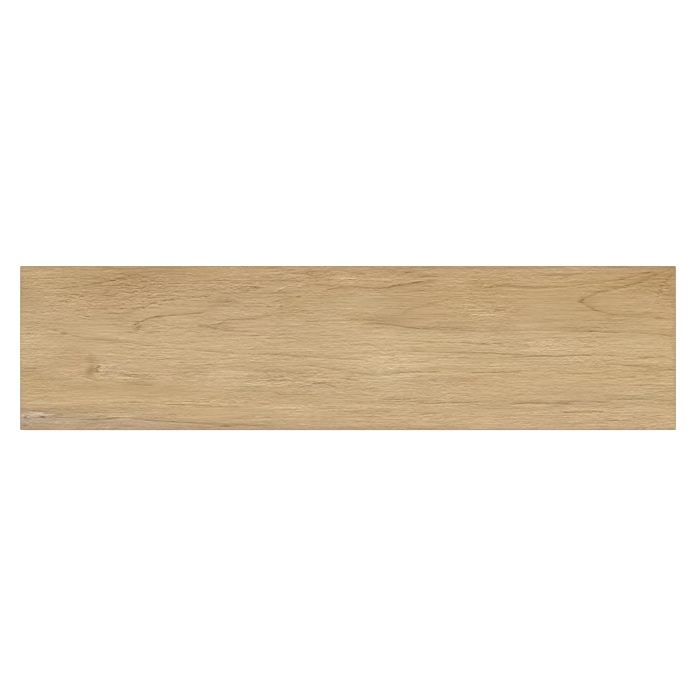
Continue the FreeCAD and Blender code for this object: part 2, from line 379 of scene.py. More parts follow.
        (0.3, 152, -30, 12, 4), (0.4, 298, -35, 8, 6), (0.4, 266, -43, 16, 6), (0.4, 200, -45, 22, 7),
        (0.35, 265, -48, 14, 6), (0.3, 172, -64, 20, 4), (0.3, 218, -65, 20, 4),
    ),
    Pigment.OCHRE: patches(
        # Bands along much of the plank.
        (0.25, 0, 74, 420, 6), (0.35, -120, 73, 160, 4),
        # The left quarter, from the rear edge to the front edge.
        (0.4, -225, 60, 30, 8), (0.5, -294, -30, 12, 6), (0.35, -165, -39, 50, 5),
        (0.35, -235, -40, 50, 6), (0.15, -262, -60, 14, 5),
        # From there to the middle.
        (0.25, -138, 67, 26, 6), (0.3, -18, 57, 14, 8), (0.35, -42, 42, 14, 8), (0.3, -95, 38, 12, 6),
        (0.25, -45, 33, 14, 4), (0.25, -15, 14, 14, 4), (0.2, -20, 5, 14, 9), (0.3, -42, -13, 14, 4),
        (0.3, -58, -42, 16, 7), (0.35, -120, -53, 30, 6),
        # From the middle to the right quarter.
        (0.5, 131, 60, 10, 6), (0.25, 22, 56, 18, 5), (0.25, 82, 48, 20, 8), (0.25, 85, 36, 30, 8),
        (0.35, 8, 27, 12, 6), (0.35, 105, 25, 14, 4), (0.3, 138, -12, 12, 5), (0.25, 90, -21, 12, 4),
        # The right quarter.
        (0.5, 285, 73, 16, 4), (0.6, 250, 61, 70, 9), (0.4, 180, 50, 130, 20), (0.25, 240, 20, 50, 30),
        (0.35, 290, 20, 20, 60), (0.2, 190, 6, 18, 5), (0.15, 285, -15, 14, 6), (0.4, 240, -22, 60, 8),
        (0.3, 165, -32, 60, 10), (0.35, 297, -55, 8, 12),
    ),
    Pigment.CHALK: patches(
        # Bands along much of the plank.
        (0.2, -110, 5, 160, 30),
        # The left quarter, from the rear edge to the front edge.
        (0.3, -275, 34, 12, 8), (0.35, -298, -15, 8, 8), (0.7, -213, -21, 9, 5), (0.35, -165, -26, 14, 6),
        (0.3, -276, -52, 14, 4), (0.4, -298, -57, 8, 8), (0.3, -190, -58, 18, 5),
        (0.35, -190, -63, 16, 4), (0.4, -298, -71, 8, 5),
        # From there to the middle.
        (0.2, -62, 50, 16, 8), (0.35, -25, 37, 14, 4), (0.45, -105, 33, 16, 14), (0.2, -60, 18, 40, 4),
        (0.35, -70, -28, 14, 5), (0.35, -110, -29, 22, 6), (0.4, -28, -35, 10, 5),
        (0.25, -105, -50, 16, 6), (0.2, -35, -66, 24, 5), (0.25, -112, -68, 22, 4),
        # From the middle to the right quarter.
        (0.35, 12, 52, 14, 5), (0.25, 40, -17, 24, 5), (0.55, 45, -27, 24, 6), (0.15, 20, -37, 80, 10),
        (0.2, 60, -66, 50, 4),
        # The right quarter.
        (0.25, 182, 66, 24, 4), (0.35, 232, 65, 30, 4), (0.1, 272, 5, 16, 7), (0.2, 180, 0, 50, 14),
        (0.25, 200, -20, 20, 6), (0.35, 266, -51, 14, 5), (0.4, 200, -52, 36, 4), (0.25, 225, -67, 40, 4),
        (0.25, 240, -70, 30, 4), (0.3, 165, -72, 40, 4),
    ),
    Pigment.ASH: patches(
        (1.0, -290, -65, 38, 8), (0.55, -218, -67, 40, 7), (0.5, -150, -71, 50, 5),
        (0.5, -60, -74, 50, 3),
    ),
}

GROWTH_LINES = (
    # Upper left, with the left arch.
    GrowthLine(1.0, 0.6, ((-262, 54.2), (-250, 56.2), (-239, 57.3))),
    GrowthLine(
        1.0,
        0.6,
        ((-239, 57.3), (-231, 59), (-224, 60.3), (-212, 62.4), (-204, 64.3), (-197, 66.7)),
    ),
    GrowthLine(0.6, 0.6, ((-197, 66.5), (-188, 69), (-176, 69.8), (-160, 71))),
    GrowthLine(0.35, 0.5, ((-289, 62.8), (-267, 64))),
    GrowthLine(0.45, 0.6, ((-208, 44), (-200, 46), (-184, 48.3))),
    GrowthLine(0.5, 0.7, ((-215, 31), (-198, 33), (-188, 36.5), (-176, 41.3), (-168, 43.2))),
    GrowthLine(1.0, 0.6, ((-168, 43.2), (-158, 44.6), (-148, 45.4), (-138, 46.4), (-124, 48))),
    GrowthLine(1.4, 0.7, ((-190, 23.5), (-185, 26.2), (-180, 27.6), (-175, 28.8), (-166, 29.3))),
    GrowthLine(1.5, 0.6, ((-166, 29.3), (-150, 30.7), (-140, 31.5), (-131, 32.8))),
    GrowthLine(0.5, 0.7, ((-131, 32.8), (-127, 35.4), (-122, 37.8), (-115, 39), (-107, 38.8))),
    GrowthLine(0.5, 0.7, ((-127, 41.2), (-120, 42.5), (-110, 42.6), (-101, 42.2))),
    GrowthLine(0.6, 0.7, ((-191, 17), (-186, 15.4), (-177, 13.4))),
    # The long line from the left end past the middle.
    GrowthLine(0.5, 0.8, ((-273, 17.3), (-267, 16), (-259, 13.3), (-250, 10.8), (-240, 8.7))),
    GrowthLine(0.9, 0.6, ((-240, 8.7), (-225, 7.4), (-208, 6), (-195, 4.4), (-171, 0.5), (-150, -1))),
    GrowthLine(0.75, 0.6, ((-150, -1), (-126, -3), (-104, -4.9), (-90, -5.6), (-76, -5.6))),
    GrowthLine(1.0, 0.6, ((-76, -5.6), (-66, -6), (-48, -7.2), (-26, -8.5), (0, -10), (14, -10.6))),
    # The middle arch, and the lines above it.
    GrowthLine(1.0, 0.6, ((-120, 19.6), (-117, 22.5), (-112, 25), (-104, 25.9), (-90, 26.4), (-78, 27.5))),
    GrowthLine(0.3, 0.7, ((-78, 28.8), (-66, 30.8), (-54, 32.6), (-45, 34))),
    GrowthLine(0.8, 0.6, ((-137, 20.6), (-129, 19.2), (-121, 17.9))),
    GrowthLine(0.25, 0.8, ((-121, 17.9), (-107, 15.5), (-85, 15))),
    GrowthLine(0.5, 0.6, ((-66, 42.5), (-56, 45), (-46, 46.5), (-40, 47.4))),
    GrowthLine(0.35, 0.8, ((-82, 47), (-73, 48), (-65, 51.5), (-58, 55)), LateWood.BELOW),
    GrowthLine(1.9, 0.5, ((-100, 54.5), (-78, 55))),
    GrowthLine(1.0, 0.5, ((-72, 61), (-55, 62))),
    GrowthLine(1.35, 0.6, ((-56, 68.3), (-28, 68.6))),
    GrowthLine(0.45, 0.6, ((-39, 63.6), (-28, 66.6), (-19, 69.5), (-10, 72))),
    # The knotty line above the middle.
    GrowthLine(
        1.2,
        0.6,
        ((-20, 52.4), (-12, 55), (0, 56.5), (17, 55.5), (30, 54.8), (37, 55.2)),
        LateWood.BELOW,
    ),
    GrowthLine(2.0, 0.7, ((37, 55.2), (43, 57), (50, 58.2), (56, 59.1), (62, 60)), LateWood.BELOW),
    GrowthLine(2.7, 0.6, ((62, 60), (70, 61.1), (78, 62)), LateWood.BELOW),
    GrowthLine(1.25, 0.6, ((61, 64), (71, 65.3), (84, 65.5))),
    GrowthLine(1.5, 0.6, ((49, 68), (53, 68.8), (58, 70.2))),
    # The flame right of the middle.
    GrowthLine(
        1.15,
        0.7,
        ((15, 21.6), (25, 22.4), (35, 21.7), (45, 20.7), (57, 18.5), (64, 17.9), (76, 17.4)),
    ),
    GrowthLine(0.6, 0.7, ((76, 17.4), (82, 16.8), (90, 16))),
    GrowthLine(1.4, 0.5, ((0, 25.4), (12, 25.5), (25, 25.3))),
    GrowthLine(
        0.8,
        0.7,
        ((50, 32), (57, 35.7), (62, 37.3), (70, 38.6), (76, 41), (82, 42), (90, 44)),
        LateWood.BELOW,
    ),
    GrowthLine(1.0, 0.6, ((88, 44), (94, 45.2), (101, 43.4))),
    GrowthLine(0.55, 0.8, ((93, 19.2), (99, 17.4), (107, 16.2), (118, 15.8))),
    # Upper right, with the right arch.
    GrowthLine(
        0.95,
        0.9,
        ((130, 55.6), (138, 56.7), (149, 56.3), (160, 55.4), (172, 54.9), (184, 55.8), (200, 56.4)),
    ),
    GrowthLine(0.95, 0.6, ((200, 56.4), (212, 58), (223, 59.8), (235, 60.8), (245, 62))),
    GrowthLine(1.3, 0.7, ((245, 62), (254, 64), (262, 66.3), (270, 68), (278, 69.5))),
    GrowthLine(1.2, 0.5, ((174, 66.6), (200, 66.4), (206, 66.8))),
    GrowthLine(
        0.85,
        1.2,
        ((213, 43.2), (216, 45.4), (222, 48), (228, 50.4), (234, 52), (245, 54.5), (253, 56)),
    ),
    GrowthLine(0.9, 1.1, ((253, 56), (260, 58), (268, 60.5), (274, 63), (279, 66))),
    GrowthLine(0.75, 0.8, ((279, 66), (285, 68.5), (293, 71.5), (299, 74))),
    GrowthLine(1.2, 0.8, ((213, 42.4), (216, 39.8), (219, 38.2), (223, 36), (228, 33.9), (234, 32.4))),
    GrowthLine(0.65, 0.7, ((234, 32.4), (240, 31.2), (246, 30), (250, 29))),
    GrowthLine(0.75, 0.6, ((250, 29), (262, 28.2), (275, 27.8), (283, 27.2), (290, 26.6), (300, 25.2))),
    GrowthLine(0.5, 0.8, ((283, 44), (285.5, 52), (288.5, 57.5), (292.5, 62), (297, 68), (299, 72))),
    # The right half, below the arch.
    GrowthLine(1.2, 0.6, ((201, 15.3), (213, 15.1), (228, 15), (240, 14.3), (258, 13.8), (274, 13.4))),
    GrowthLine(1.3, 0.6, ((274, 13.4), (288, 12.2), (299, 10.8))),
    GrowthLine(0.8, 0.6, ((40, 7), (60, 6.4), (75, 5.5), (102, 5.1))),
    GrowthLine(1.6, 0.6, ((102, 5.1), (110, 4.7), (118, 4.2), (129, 3.5))),
    GrowthLine(2.2, 0.5, ((134, 4.2), (141, 4.1))),
    GrowthLine(
        1.0,
        0.6,
        ((56, -3.3), (69, -3.4), (91, -4.1), (111, -4.4), (131, -5), (150, -5.9), (162, -6.2)),
    ),
    GrowthLine(1.75, 0.6, ((150, -8.4), (160, -7.8), (180, -7.4), (190, -7.6), (205, -6.9))),
    GrowthLine(1.65, 0.6, ((205, -6.9), (220, -6.5), (244, -6.5))),
    GrowthLine(1.4, 0.5, ((264, -9.2), (278, -8.8), (290, -8))),
    GrowthLine(0.9, 0.6, ((226, -15.4), (244, -14.9), (256, -16), (270, -17.5))),
    GrowthLine(1.25, 0.6, ((270, -17.5), (285, -19.1), (299, -20.6))),
    # The front half, from the middle to the right end.
    GrowthLine(0.35, 0.5, ((-86, -21.7), (-70, -22), (-46, -21.8))),
    GrowthLine(0.6, 0.6, ((-40, -15), (-19, -18.6), (0, -21.6))),
    GrowthLine(
        1.3,
        0.6,
        ((0, -21.6), (13, -23.5), (22, -24.7), (35, -24.5), (42, -23.6), (49, -22.4), (60, -22), (84, -22)),
    ),
    GrowthLine(1.8, 0.5, ((113, -22.7), (135, -22.3), (150, -22), (158, -22.5))),
    GrowthLine(0.5, 0.6, ((97, -28), (119, -28))),
    GrowthLine(0.65, 0.5, ((189, -23.7), (237, -23.7))),
    GrowthLine(0.65, 0.6, ((-100, -39.2), (-85, -39.8), (-75, -40), (-67, -41), (-58, -41.8))),
    GrowthLine(0.4, 1.0, ((-98, -36), (-76, -36.8))),
    GrowthLine(1.15, 0.6, ((-46, -29.4), (-38, -31), (-31, -32.4), (-22, -33), (-15, -34.4), (-9, -37.6))),
    GrowthLine(0.3, 0.6, ((-75, -27.2), (-68, -27.8), (-60, -26.6))),
    GrowthLine(1.3, 0.6, ((-4, -28.6), (9, -29.4))),
    GrowthLine(0.85, 0.5, ((-2, -37), (28, -37.2))),
    GrowthLine(1.65, 0.5, ((32, -47), (58, -47))),
    GrowthLine(1.1, 0.6, ((64, -50.8), (80, -50.5), (96, -49.8), (113, -50))),
    GrowthLine(1.1, 0.8, ((150, -51), (172, -50.2), (189, -50.8), (204, -51))),
    GrowthLine(1.05, 0.8, ((190, -49.4), (203, -48.8), (217, -49.1), (236, -49.4))),
    GrowthLine(0.8, 0.7, ((234, -48), (250, -46.7), (262, -47), (275, -47), (284, -47.9), (299, -48.6))),
    GrowthLine(1.3, 0.5, ((187, -53.6), (198, -53.6))),
    GrowthLine(1.2, 0.5, ((198, -58.8), (232, -58.6))),
    GrowthLine(0.7, 0.5, ((0, -59.4), (40, -59.2))),
    GrowthLine(1.2, 0.5, ((66, -61), (84, -59.6))),
    GrowthLine(1.2, 0.5, ((236, -66.5), (246, -66.3))),
    GrowthLine(0.7, 0.5, ((260, -33.9), (284, -33.6))),
    GrowthLine(0.5, 0.7, ((272, -42.3), (285, -40.4), (299, -39.7))),
    # Lower left, with the ash band.
    GrowthLine(
        1.1,
        0.5,
        ((-215, -50), (-186, -49.9), (-169, -51.2), (-150, -52.2), (-125, -53.4), (-99, -54)),
    ),
    GrowthLine(
        0.95,
        0.7,
        ((-284, -63.2), (-263, -63.6), (-248, -64.2), (-236, -65.8), (-226, -65), (-208, -64)),
    ),
    GrowthLine(
        1.2,
        0.7,
        ((-208, -64), (-190, -65.4), (-178, -66.5), (-160, -67.5), (-140, -68.5), (-124, -69.8)),
    ),
    GrowthLine(0.7, 0.7, ((-124, -69.8), (-108, -70.1), (-91, -70.6), (-72, -73))),
    GrowthLine(1.9, 0.5, ((-116, -71.8), (-106, -71.8))),
    GrowthLine(1.3, 0.6, ((-242, -26), (-236, -27.8), (-229, -29.3))),
    GrowthLine(1.2, 0.6, ((-204, -25.4), (-190, -27.2), (-177, -29))),
    GrowthLine(0.6, 0.8, ((-200, -33.5), (-178, -34.2))),
    GrowthLine(0.45, 0.6, ((-299, -18.3), (-286, -18.3))),
    # Pale lines, and the last faint ones.
    GrowthLine(-1.0, 0.45, ((-108, -33), (-85, -33.2), (-72, -34.4))),
    GrowthLine(-0.9, 0.45, ((-120, -21.7), (-95, -21.9))),
    GrowthLine(-1.2, 0.5, ((-16, 63.4), (0, 63.8), (12, 64))),
    GrowthLine(-0.6, 0.5, ((0, 57.9), (20, 58), (36, 57.4), (46, 59.6))),
    GrowthLine(1.0, 0.45, ((44, -12.4), (78, -12.8))),
    GrowthLine(-1.3, 0.6, ((-67, 51.8), (-62, 53.8), (-57, 56))),
    GrowthLine(-2.0, 0.5, ((-56, 57), (-40, 57.4))),
    GrowthLine(0.3, 0.5, ((-72, 42.7), (-60, 42.8))),
    GrowthLine(-1.0, 0.5, ((-250, -28.8), (-234, -29.6))),
    GrowthLine(-1.6, 0.5, ((-220, -62.4), (-200, -62.8))),
    GrowthLine(-0.5, 0.5, ((0, -7), (20, -7.4), (36, -8.4))),
    GrowthLine(-0.6, 0.6, ((30, -26.4), (60, -26))),
    GrowthLine(-0.5, 0.5, ((124, -38.4), (150, -38))),
    GrowthLine(-0.6, 0.5, ((160, 14.5), (196, 14.3))),
    GrowthLine(-1.9, 0.6, ((-292, -61), (-276, -61.4))),
    GrowthLine(-0.7, 0.6, ((-288, -67.6), (-262, -67.8))),
    GrowthLine(-1.0, 0.5, ((-214, 8.5), (-196, 8))),
    GrowthLine(0.25, 0.45, ((-152, -52.4), (-130, -52.8))),
)

KNOTS = patches(
    # The tip of the left arch.
    (0.8, -193.5, 20.5, 2.8, 3.8), (0.9, -192, 23.5, 1.4, 1), (0.9, -191.5, 17, 1.4, 1.2),
    (0.5, -190, 18, 2.6, 2), (1.3, -195.3, 21.6, 1.5, 0.7),
    # The left knot, with its pale rim.
    (1.9, -228.2, -17.4, 1.5, 1.6), (2.4, -229.4, -20.8, 1.5, 1.6), (0.42, -233, -20.5, 4.4, 4.2),
    (0.7, -235.5, -23.6, 3.4, 0.6), (1.0, -234, -15.4, 3.4, 0.6), (0.4, -236, -9.5, 3.5, 3),
    (-1.1, -223.8, -16, 2.4, 0.7), (-0.6, -224, -21, 2, 0.7), (-0.8, -225, -14, 1.6, 0.6),
    # The tip of the right arch.
    (0.8, 213.5, 43, 2.6, 2.4),
    # The little knot near the rear edge.
    (1.0, 125.8, 54.8, 1.8, 1.1), (0.9, 126.2, 51.8, 1.3, 0.8), (1.5, 130.6, 55.6, 1.6, 0.9),
    (-1.6, 125.6, 57.4, 2, 0.8),
    # Beads on the left arch.
    (1.7, -187.3, 36.6, 1.7, 1), (1.2, -191, 34.8, 1.4, 0.7), (1.2, -176.5, 42, 1.5, 1),
    (1.2, -167.8, 43.4, 1.5, 0.8), (1.0, -173, 28.7, 4.5, 0.8),
    # The tip of the middle arch.
    (0.9, -121.5, 18, 2.2, 1), (0.9, -135.5, 20, 2.2, 0.9),
    # The ash corner.
    (2.6, -295.8, -63.6, 0.9, 1.8), (1.2, -292.5, -64.8, 2.4, 0.6), (1.1, -293.5, -61.6, 1.8, 0.6),
    (1.3, -295.5, -70.5, 1.6, 1.4), (1.7, -279, -63.3, 2.6, 0.8), (-1.6, -281.5, -59.3, 3, 0.8),
    (-1.6, -274, -61.3, 5, 0.6),
    # Swellings of the lines at the left.
    (0.9, -268, 16.2, 2.4, 1.1), (0.8, -260, 13.4, 3, 1.2), (1.0, -231, 59.2, 4, 0.9),
    (0.7, -249, 56.4, 3, 0.8), (0.9, -208, 63, 4, 0.9),
    # Two pits above the middle arch.
    (0.9, -61.5, 37, 1.6, 1.8), (0.8, -73.5, 38.4, 1.2, 1.2),
    # The beaded curve in the right corner.
    (1.4, 286, 52.6, 2.4, 0.7), (0.9, 283.6, 49.6, 1.3, 0.8), (0.9, 283, 46.4, 1.3, 0.8),
    (1.3, 286.6, 57.2, 1.5, 1), (1.3, 289.6, 60.6, 1.4, 0.9), (1.1, 291.4, 63.6, 1.2, 0.9),
    (0.9, 296.5, 41.6, 1.6, 0.8), (1.0, 293.6, 71.6, 2, 0.8), (0.9, 294.8, 65.6, 1.3, 0.8),
    # Single beads.
    (0.8, 196.5, -28, 1.8, 0.8), (0.7, 285, 27.2, 3.4, 0.9), (0.8, 124, 3.7, 4.6, 0.7),
    (1.4, -45, 46.6, 2.2, 0.6), (0.9, -211, 8.6, 1.6, 0.8), (0.8, -132, -18.4, 2.4, 0.6),
)

STIPPLE_PATCHES = patches(
    # Wide stretches, busy or calm.
    (0.5, -205, 52, 42, 16), (0.3, -258, 42, 20, 8), (0.25, -294, 8, 12, 30), (0.5, -50, -28, 36, 7),
    (0.5, 112, 38, 20, 10), (0.5, -15, 65, 26, 6), (0.3, 255, -62, 50, 10), (0.3, 285, 52, 12, 14),
    (0.4, -220, -20, 16, 8), (-0.3, 180, 22, 40, 10), (-0.3, -225, 14, 26, 9), (0.4, -110, 56, 42, 10),
    (0.5, -60, 37, 15, 6), (0.4, 190, 5, 26, 4), (0.5, -285, -62, 18, 8), (-0.5, 60, 28, 22, 8),
    (-0.5, -165, 33, 30, 5), (-0.5, -90, 20, 15, 4), (-0.7, 182, 42, 36, 12), (-0.5, 236, 43, 15, 6),
    (-0.3, -240, 20, 20, 8), (-0.3, -110, -22, 20, 6), (-0.3, 20, 43, 18, 6), (-0.4, -110, -60, 30, 5),
    # Small ones, most of them round the knots.
    (1.2, -193, 20, 4, 4), (0.9, -189, 36, 4, 3), (0.6, -177, 41, 5, 3), (1.2, 126, 55, 4, 4),
    (1.0, -174, 60, 8, 5), (0.8, -192, 58, 4, 6), (0.5, -257, 44, 5, 4), (0.9, -241, 28, 6, 5),
    (0.8, -226, -18, 3, 4), (0.4, -214, -22, 8, 4), (-0.8, -236, -20, 4, 4), (0.3, 289, 58, 5, 9),
    (0.8, 214, 43, 4, 4), (0.6, -90, 57, 14, 4), (0.6, 145, 40, 12, 10), (0.6, -46, 57.5, 10, 2),
    (-0.5, -195, -40, 60, 8),
)


@dataclass(frozen=True)
class PressedRows:
    """The pressed grain: level rows of fibres and pores, each row shifted against the next."""

    width: float = 1.5
    fibre_length: float = 34.0
    fibre_lead: float = 0.41
    fibre_seed: int = 61
    fibre_share: float = 0.4
    pore_length: float = 11.0
    pore_lead: float = 0.37
    pore_seed: int = 62
    pore_share: float = 0.6
    pore_least: float = 0.2
    pore_most: float = 0.8

    def depth(self, x: np.ndarray, across: np.ndarray) -> np.ndarray:
        """Works out how deep the grain is pressed.

        Args:
            x: Place along the plank.
            across: Place across the grain.

        Returns:
            The depth at each place, from 0 on the fibres to 1 in the pores.
        """
        rows = across / self.width
        row = np.floor(rows)
        groove = 4 * (rows - row) * (1 - rows + row)
        fibre = 0.5 + 0.5 * lumps(x / self.fibre_length + self.fibre_lead * row, row, self.fibre_seed)
        pore = lumps(x / self.pore_length + self.pore_lead * row, row, self.pore_seed)
        pore = smooth_step(self.pore_least, self.pore_most, pore)
        return np.clip(self.fibre_share * fibre + self.pore_share * pore, 0, 1) * groove


@dataclass
class OakFigure:
    """The figure of the board that the tile is printed to look like, within the face's half-sizes."""

    half_length: float
    half_width: float

    base: tuple[float, float, float] = (194.3, 164.2, 120.6)
    washes: Mapping[Pigment, Sequence[Patch]] = field(default_factory=lambda: WASHES)
    wash_gain: float = 1.45
    sway_along: Unevenness = Unevenness(9.0, 60, 12, 6)
    sway_across: Unevenness = Unevenness(2.2, 34, 9, 5)
    # How much darker the face gets at its edge, and over what width.
    edge_darkening: float = 9.0
    edge_darkening_width: float = 0.9

    lines: tuple[GrowthLine, ...] = GROWTH_LINES
    line_fade: float = 5.0
    line_reach: float = 4.5
    line_soft_edge: float = 1.5
    line_ink: float = 0.95
    line_breaks: Unevenness = Unevenness(0.4, 7, 1, 31)
    line_stagger: Unevenness = Unevenness(1.6, 9, 1, 71)

    flow_reach: float = 5.0
    flow_fade: float = 50.0
    flow_rest: float = 2.5
    flow_whole_line: float = 60.0
    flow_wander: tuple[Unevenness, ...] = (Unevenness(0.7, 150, 26, 11), Unevenness(0.1, 40, 8, 12))

    knots: tuple[Patch, ...] = KNOTS
    knot_rim: float = 0.3
    knot_rim_place: float = 2.0
    knot_rim_width: float = 0.6

    stipple_patches: tuple[Patch, ...] = STIPPLE_PATCHES
    stipple_usual: float = 0.45
    stipple_least: float = 0.1
    stipple_most: float = 1.4
    stipple_drift: Unevenness = Unevenness(0.2, 45, 8, 51)

    def wash(self, x: np.ndarray, y: np.ndarray) -> np.ndarray:
        """Lays every wash over the base colour, and darkens the face towards its edge.

        Args:
            x: Place along the plank.
            y: Place across the plank.

        Returns:
            Linear red, green and blue for each place.
        """
        swayed_x, swayed_y = x + self.sway_along.at(x, y), y + self.sway_across.at(x, y)
        tint = np.zeros((len(x), 3))
        for pigment, washed in self.washes.items():
            share = self.wash_gain * sum(patch.cover(swayed_x, swayed_y) for patch in washed)
            tint += np.outer(share, pigment.value)
        rim = np.minimum(self.half_length - np.abs(x), self.half_width - np.abs(y))
        # Darker within about a millimetre of the face's edge.
        tint[:, 0] -= self.edge_darkening * np.exp(-rim / self.edge_darkening_width)
        return to_linear(np.array(self.base) + tint @ np.array(TINT_TO_LEVELS))

    def across(self, x: np.ndarray, y: np.ndarray) -> np.ndarray:
        """Works out the place across the grain, which stays level along each growth line near it."""
        pull = np.zeros(len(x))
        weight = np.full(len(x), self.flow_rest)
        for line in self.lines:
            height = line.height(x)
            home = sum(point[1] for point in line.points) / len(line.points)
            near = np.exp(-(((y - height) / self.flow_reach) ** 2))
            near *= 1 - smooth_step(0, self.flow_fade, line.beyond(x))
            near *= min((line.ends[1] - line.ends[0]) / self.flow_whole_line, 1)
            pull += near * (home - height)
            weight += near
        return y + pull / weight + sum(wander.at(x, y) for wander in self.flow_wander)

    def line_layers(self) -> list[list[GrowthLine]]:
        """Sorts the lines into layers, so that no two lines of one layer run near each other."""
        past, gap = 2 * self.line_fade, 2 * self.line_reach
        layers: list[list[GrowthLine]] = []
        for line in self.lines:
            for layer in layers:
                if not any(line.comes_near(other, past, gap) for other in layer):
                    layer.append(line)
                    break
            else:
                layers.append([line])
        return layers

    def line_fields(
        self, x: np.ndarray, y: np.ndarray, layer: Sequence[GrowthLine]
    ) -> tuple[np.ndarray, np.ndarray]:
        """Draws one layer of growth lines.

        Args:
            x: Place along the plank.
            y: Place across the plank.
            layer: Lines that don't run near each other.

        Returns:
            The distance from the nearest line, in line widths towards its late wood, and that line's ink.
        """
        offset, ink = np.zeros((2, len(x)))
        staggered = x + self.line_stagger.at(x, y)
        for line in layer:
            slope = line.height(x + 1) - line.height(x)
            height = (y - line.height(staggered)) / np.hypot(1, slope)
            beyond = line.beyond(x)
            near = (np.abs(height) < self.line_reach) & (beyond < self.line_fade)
            inside = 1 - smooth_step(-self.line_fade, self.line_fade, beyond)
            fade = 1 - smooth_step(self.line_reach - self.line_soft_edge, self.line_reach, np.abs(height))
            broken = self.line_ink + self.line_breaks.at(x, np.full(len(x), line.points[0][1]))
            offset = np.where(near, height * line.late_wood.value / line.width, offset)
            ink = np.where(near, line.strength * inside * fade * broken, ink)
        return offset, ink

    def knot_ink(self, x: np.ndarray, y: np.ndarray) -> np.ndarray:
        """Darkens each knot, and lightens the rim round it."""
        total = np.zeros(len(x))
        for knot in self.knots:
            far = knot.far(x, y)
            rim = np.exp(-(((far - self.knot_rim_place) / self.knot_rim_width) ** 2))
            total += knot.strength * (np.exp(-(far**2)) - self.knot_rim * rim)
        return total

    def stipple(self, x: np.ndarray, y: np.ndarray) -> np.ndarray:
        """Gives how thickly the short pores lie, which crowd in some stretches and leave others calm."""
        share = self.stipple_usual + self.stipple_drift.at(x, y)
        for patch in self.stipple_patches:
            share += patch.cover(x, y)
        return np.clip(share, self.stipple_least, self.stipple_most)


@dataclass
class Graph:
    """A node tree that grows by one linked node at a time."""

    tree: bpy.types.NodeTree

    def feed(self, node: bpy.types.Node, inputs: Mapping[Any, Any]) -> None:
        """Links or sets some of a node's inputs.

        Args:
            node: The node.
            inputs: An output socket or a value for each input, by name or number.
        """
        for socket, value in inputs.items():
            if isinstance(value, bpy.types.NodeSocket):
                self.tree.links.new(value, node.inputs[socket])
            else:
                node.inputs[socket].default_value = value

    def add(self, kind: str, inputs: Mapping[Any, Any] | None = None, **settings: Any) -> bpy.types.Node:
        """Adds a node.

        Args:
            kind: The node's type.
            inputs: A value or an output socket for each of its inputs, by name or number.
            **settings: The node's own options.

        Returns:
            The new node.
        """
        node = self.tree.nodes.new(kind)
        for name, value in settings.items():
            setattr(node, name, value)
        self.feed(node, inputs or {})
        return node

    def existing(self, kind: str) -> bpy.types.Node:
        """Finds the tree's own node of one type."""
        return next(node for node in self.tree.nodes if node.type == kind)

    def group(self, tree: bpy.types.NodeTree, **inputs: Any) -> bpy.types.Node:
        """Places a node group and feeds its inputs."""
        return self.add("ShaderNodeGroup", inputs, node_tree=tree)

    def math(
        self, operation: str, first: Any, second: Any = 0.0, clamp: bool = False
    ) -> bpy.types.NodeSocket:
        """Adds a sum of two values and gives its result."""
        node = self.add("ShaderNodeMath", {0: first, 1: second}, operation=operation, use_clamp=clamp)
        return node.outputs[0]

    def plus(self, first: Any, second: Any, clamp: bool = False) -> bpy.types.NodeSocket:
        """Gives the sum of two values, kept between 0 and 1 if asked."""
        return self.math("ADD", first, second, clamp)

    def minus(self, first: Any, second: Any) -> bpy.types.NodeSocket:
        """Gives the first value less the second."""
        return self.math("SUBTRACT", first, second)

    def times(self, first: Any, second: Any) -> bpy.types.NodeSocket:
        """Gives the product of two values."""
        return self.math("MULTIPLY", first, second)

    def blend(self, factor: Any, first: Any, second: Any, blend_type: str = "MIX") -> bpy.types.NodeSocket:
        """Mixes two colours, also past either end of the scale, and gives the result."""
        inputs = {0: factor, 6: first, 7: second}
        node = self.add("ShaderNodeMix", inputs, data_type="RGBA", blend_type=blend_type, clamp_factor=False)
        return node.outputs[2]

    def remap(
        self, value: Any, low: float, high: float, to_low: float, to_high: float
    ) -> bpy.types.NodeSocket:
        """Maps a range of values smoothly onto another."""
        limits = {"From Min": low, "From Max": high, "To Min": to_low, "To Max": to_high}
        node = self.add("ShaderNodeMapRange", {"Value": value, **limits}, interpolation_type="SMOOTHSTEP")
        return node.outputs[0]

    def attribute(self, name: str, output: str = "Fac") -> bpy.types.NodeSocket:
        """Reads one of the mesh's own attributes."""
        node = self.add("ShaderNodeAttribute", attribute_name=name, attribute_type="GEOMETRY")
        return node.outputs[output]

    def red_of(self, colour: bpy.types.NodeSocket) -> bpy.types.NodeSocket:
        """Gives a colour's red, which serves as a random value where the colour is random."""
        return self.add("ShaderNodeSeparateColor", {0: colour}).outputs[0]

    def place(self) -> tuple[bpy.types.NodeSocket, bpy.types.NodeSocket, bpy.types.NodeSocket]:
        """Gives the place on the piece, in millimetres, as three values."""
        coordinates = self.add("ShaderNodeTexCoord").outputs["Object"]
        in_mm = self.add("ShaderNodeVectorMath", {0: coordinates, 1: (1 / MM,) * 3}, operation="MULTIPLY")
        parts = self.add("ShaderNodeSeparateXYZ", {0: in_mm.outputs[0]})
        return parts.outputs[0], parts.outputs[1], parts.outputs[2]

    def bump(self, height: Any, strength: float, depth: float) -> bpy.types.NodeSocket:
        """Turns a height into a bumped normal.

        Args:
            height: The height, where 1 is one whole depth.
            strength: How much of the bump tells.
            depth: The depth, in metres.

        Returns:
            The normal.
        """
        node = self.add("ShaderNodeBump", {"Strength": strength, "Distance": depth, "Height": height})
        return node.outputs[0]


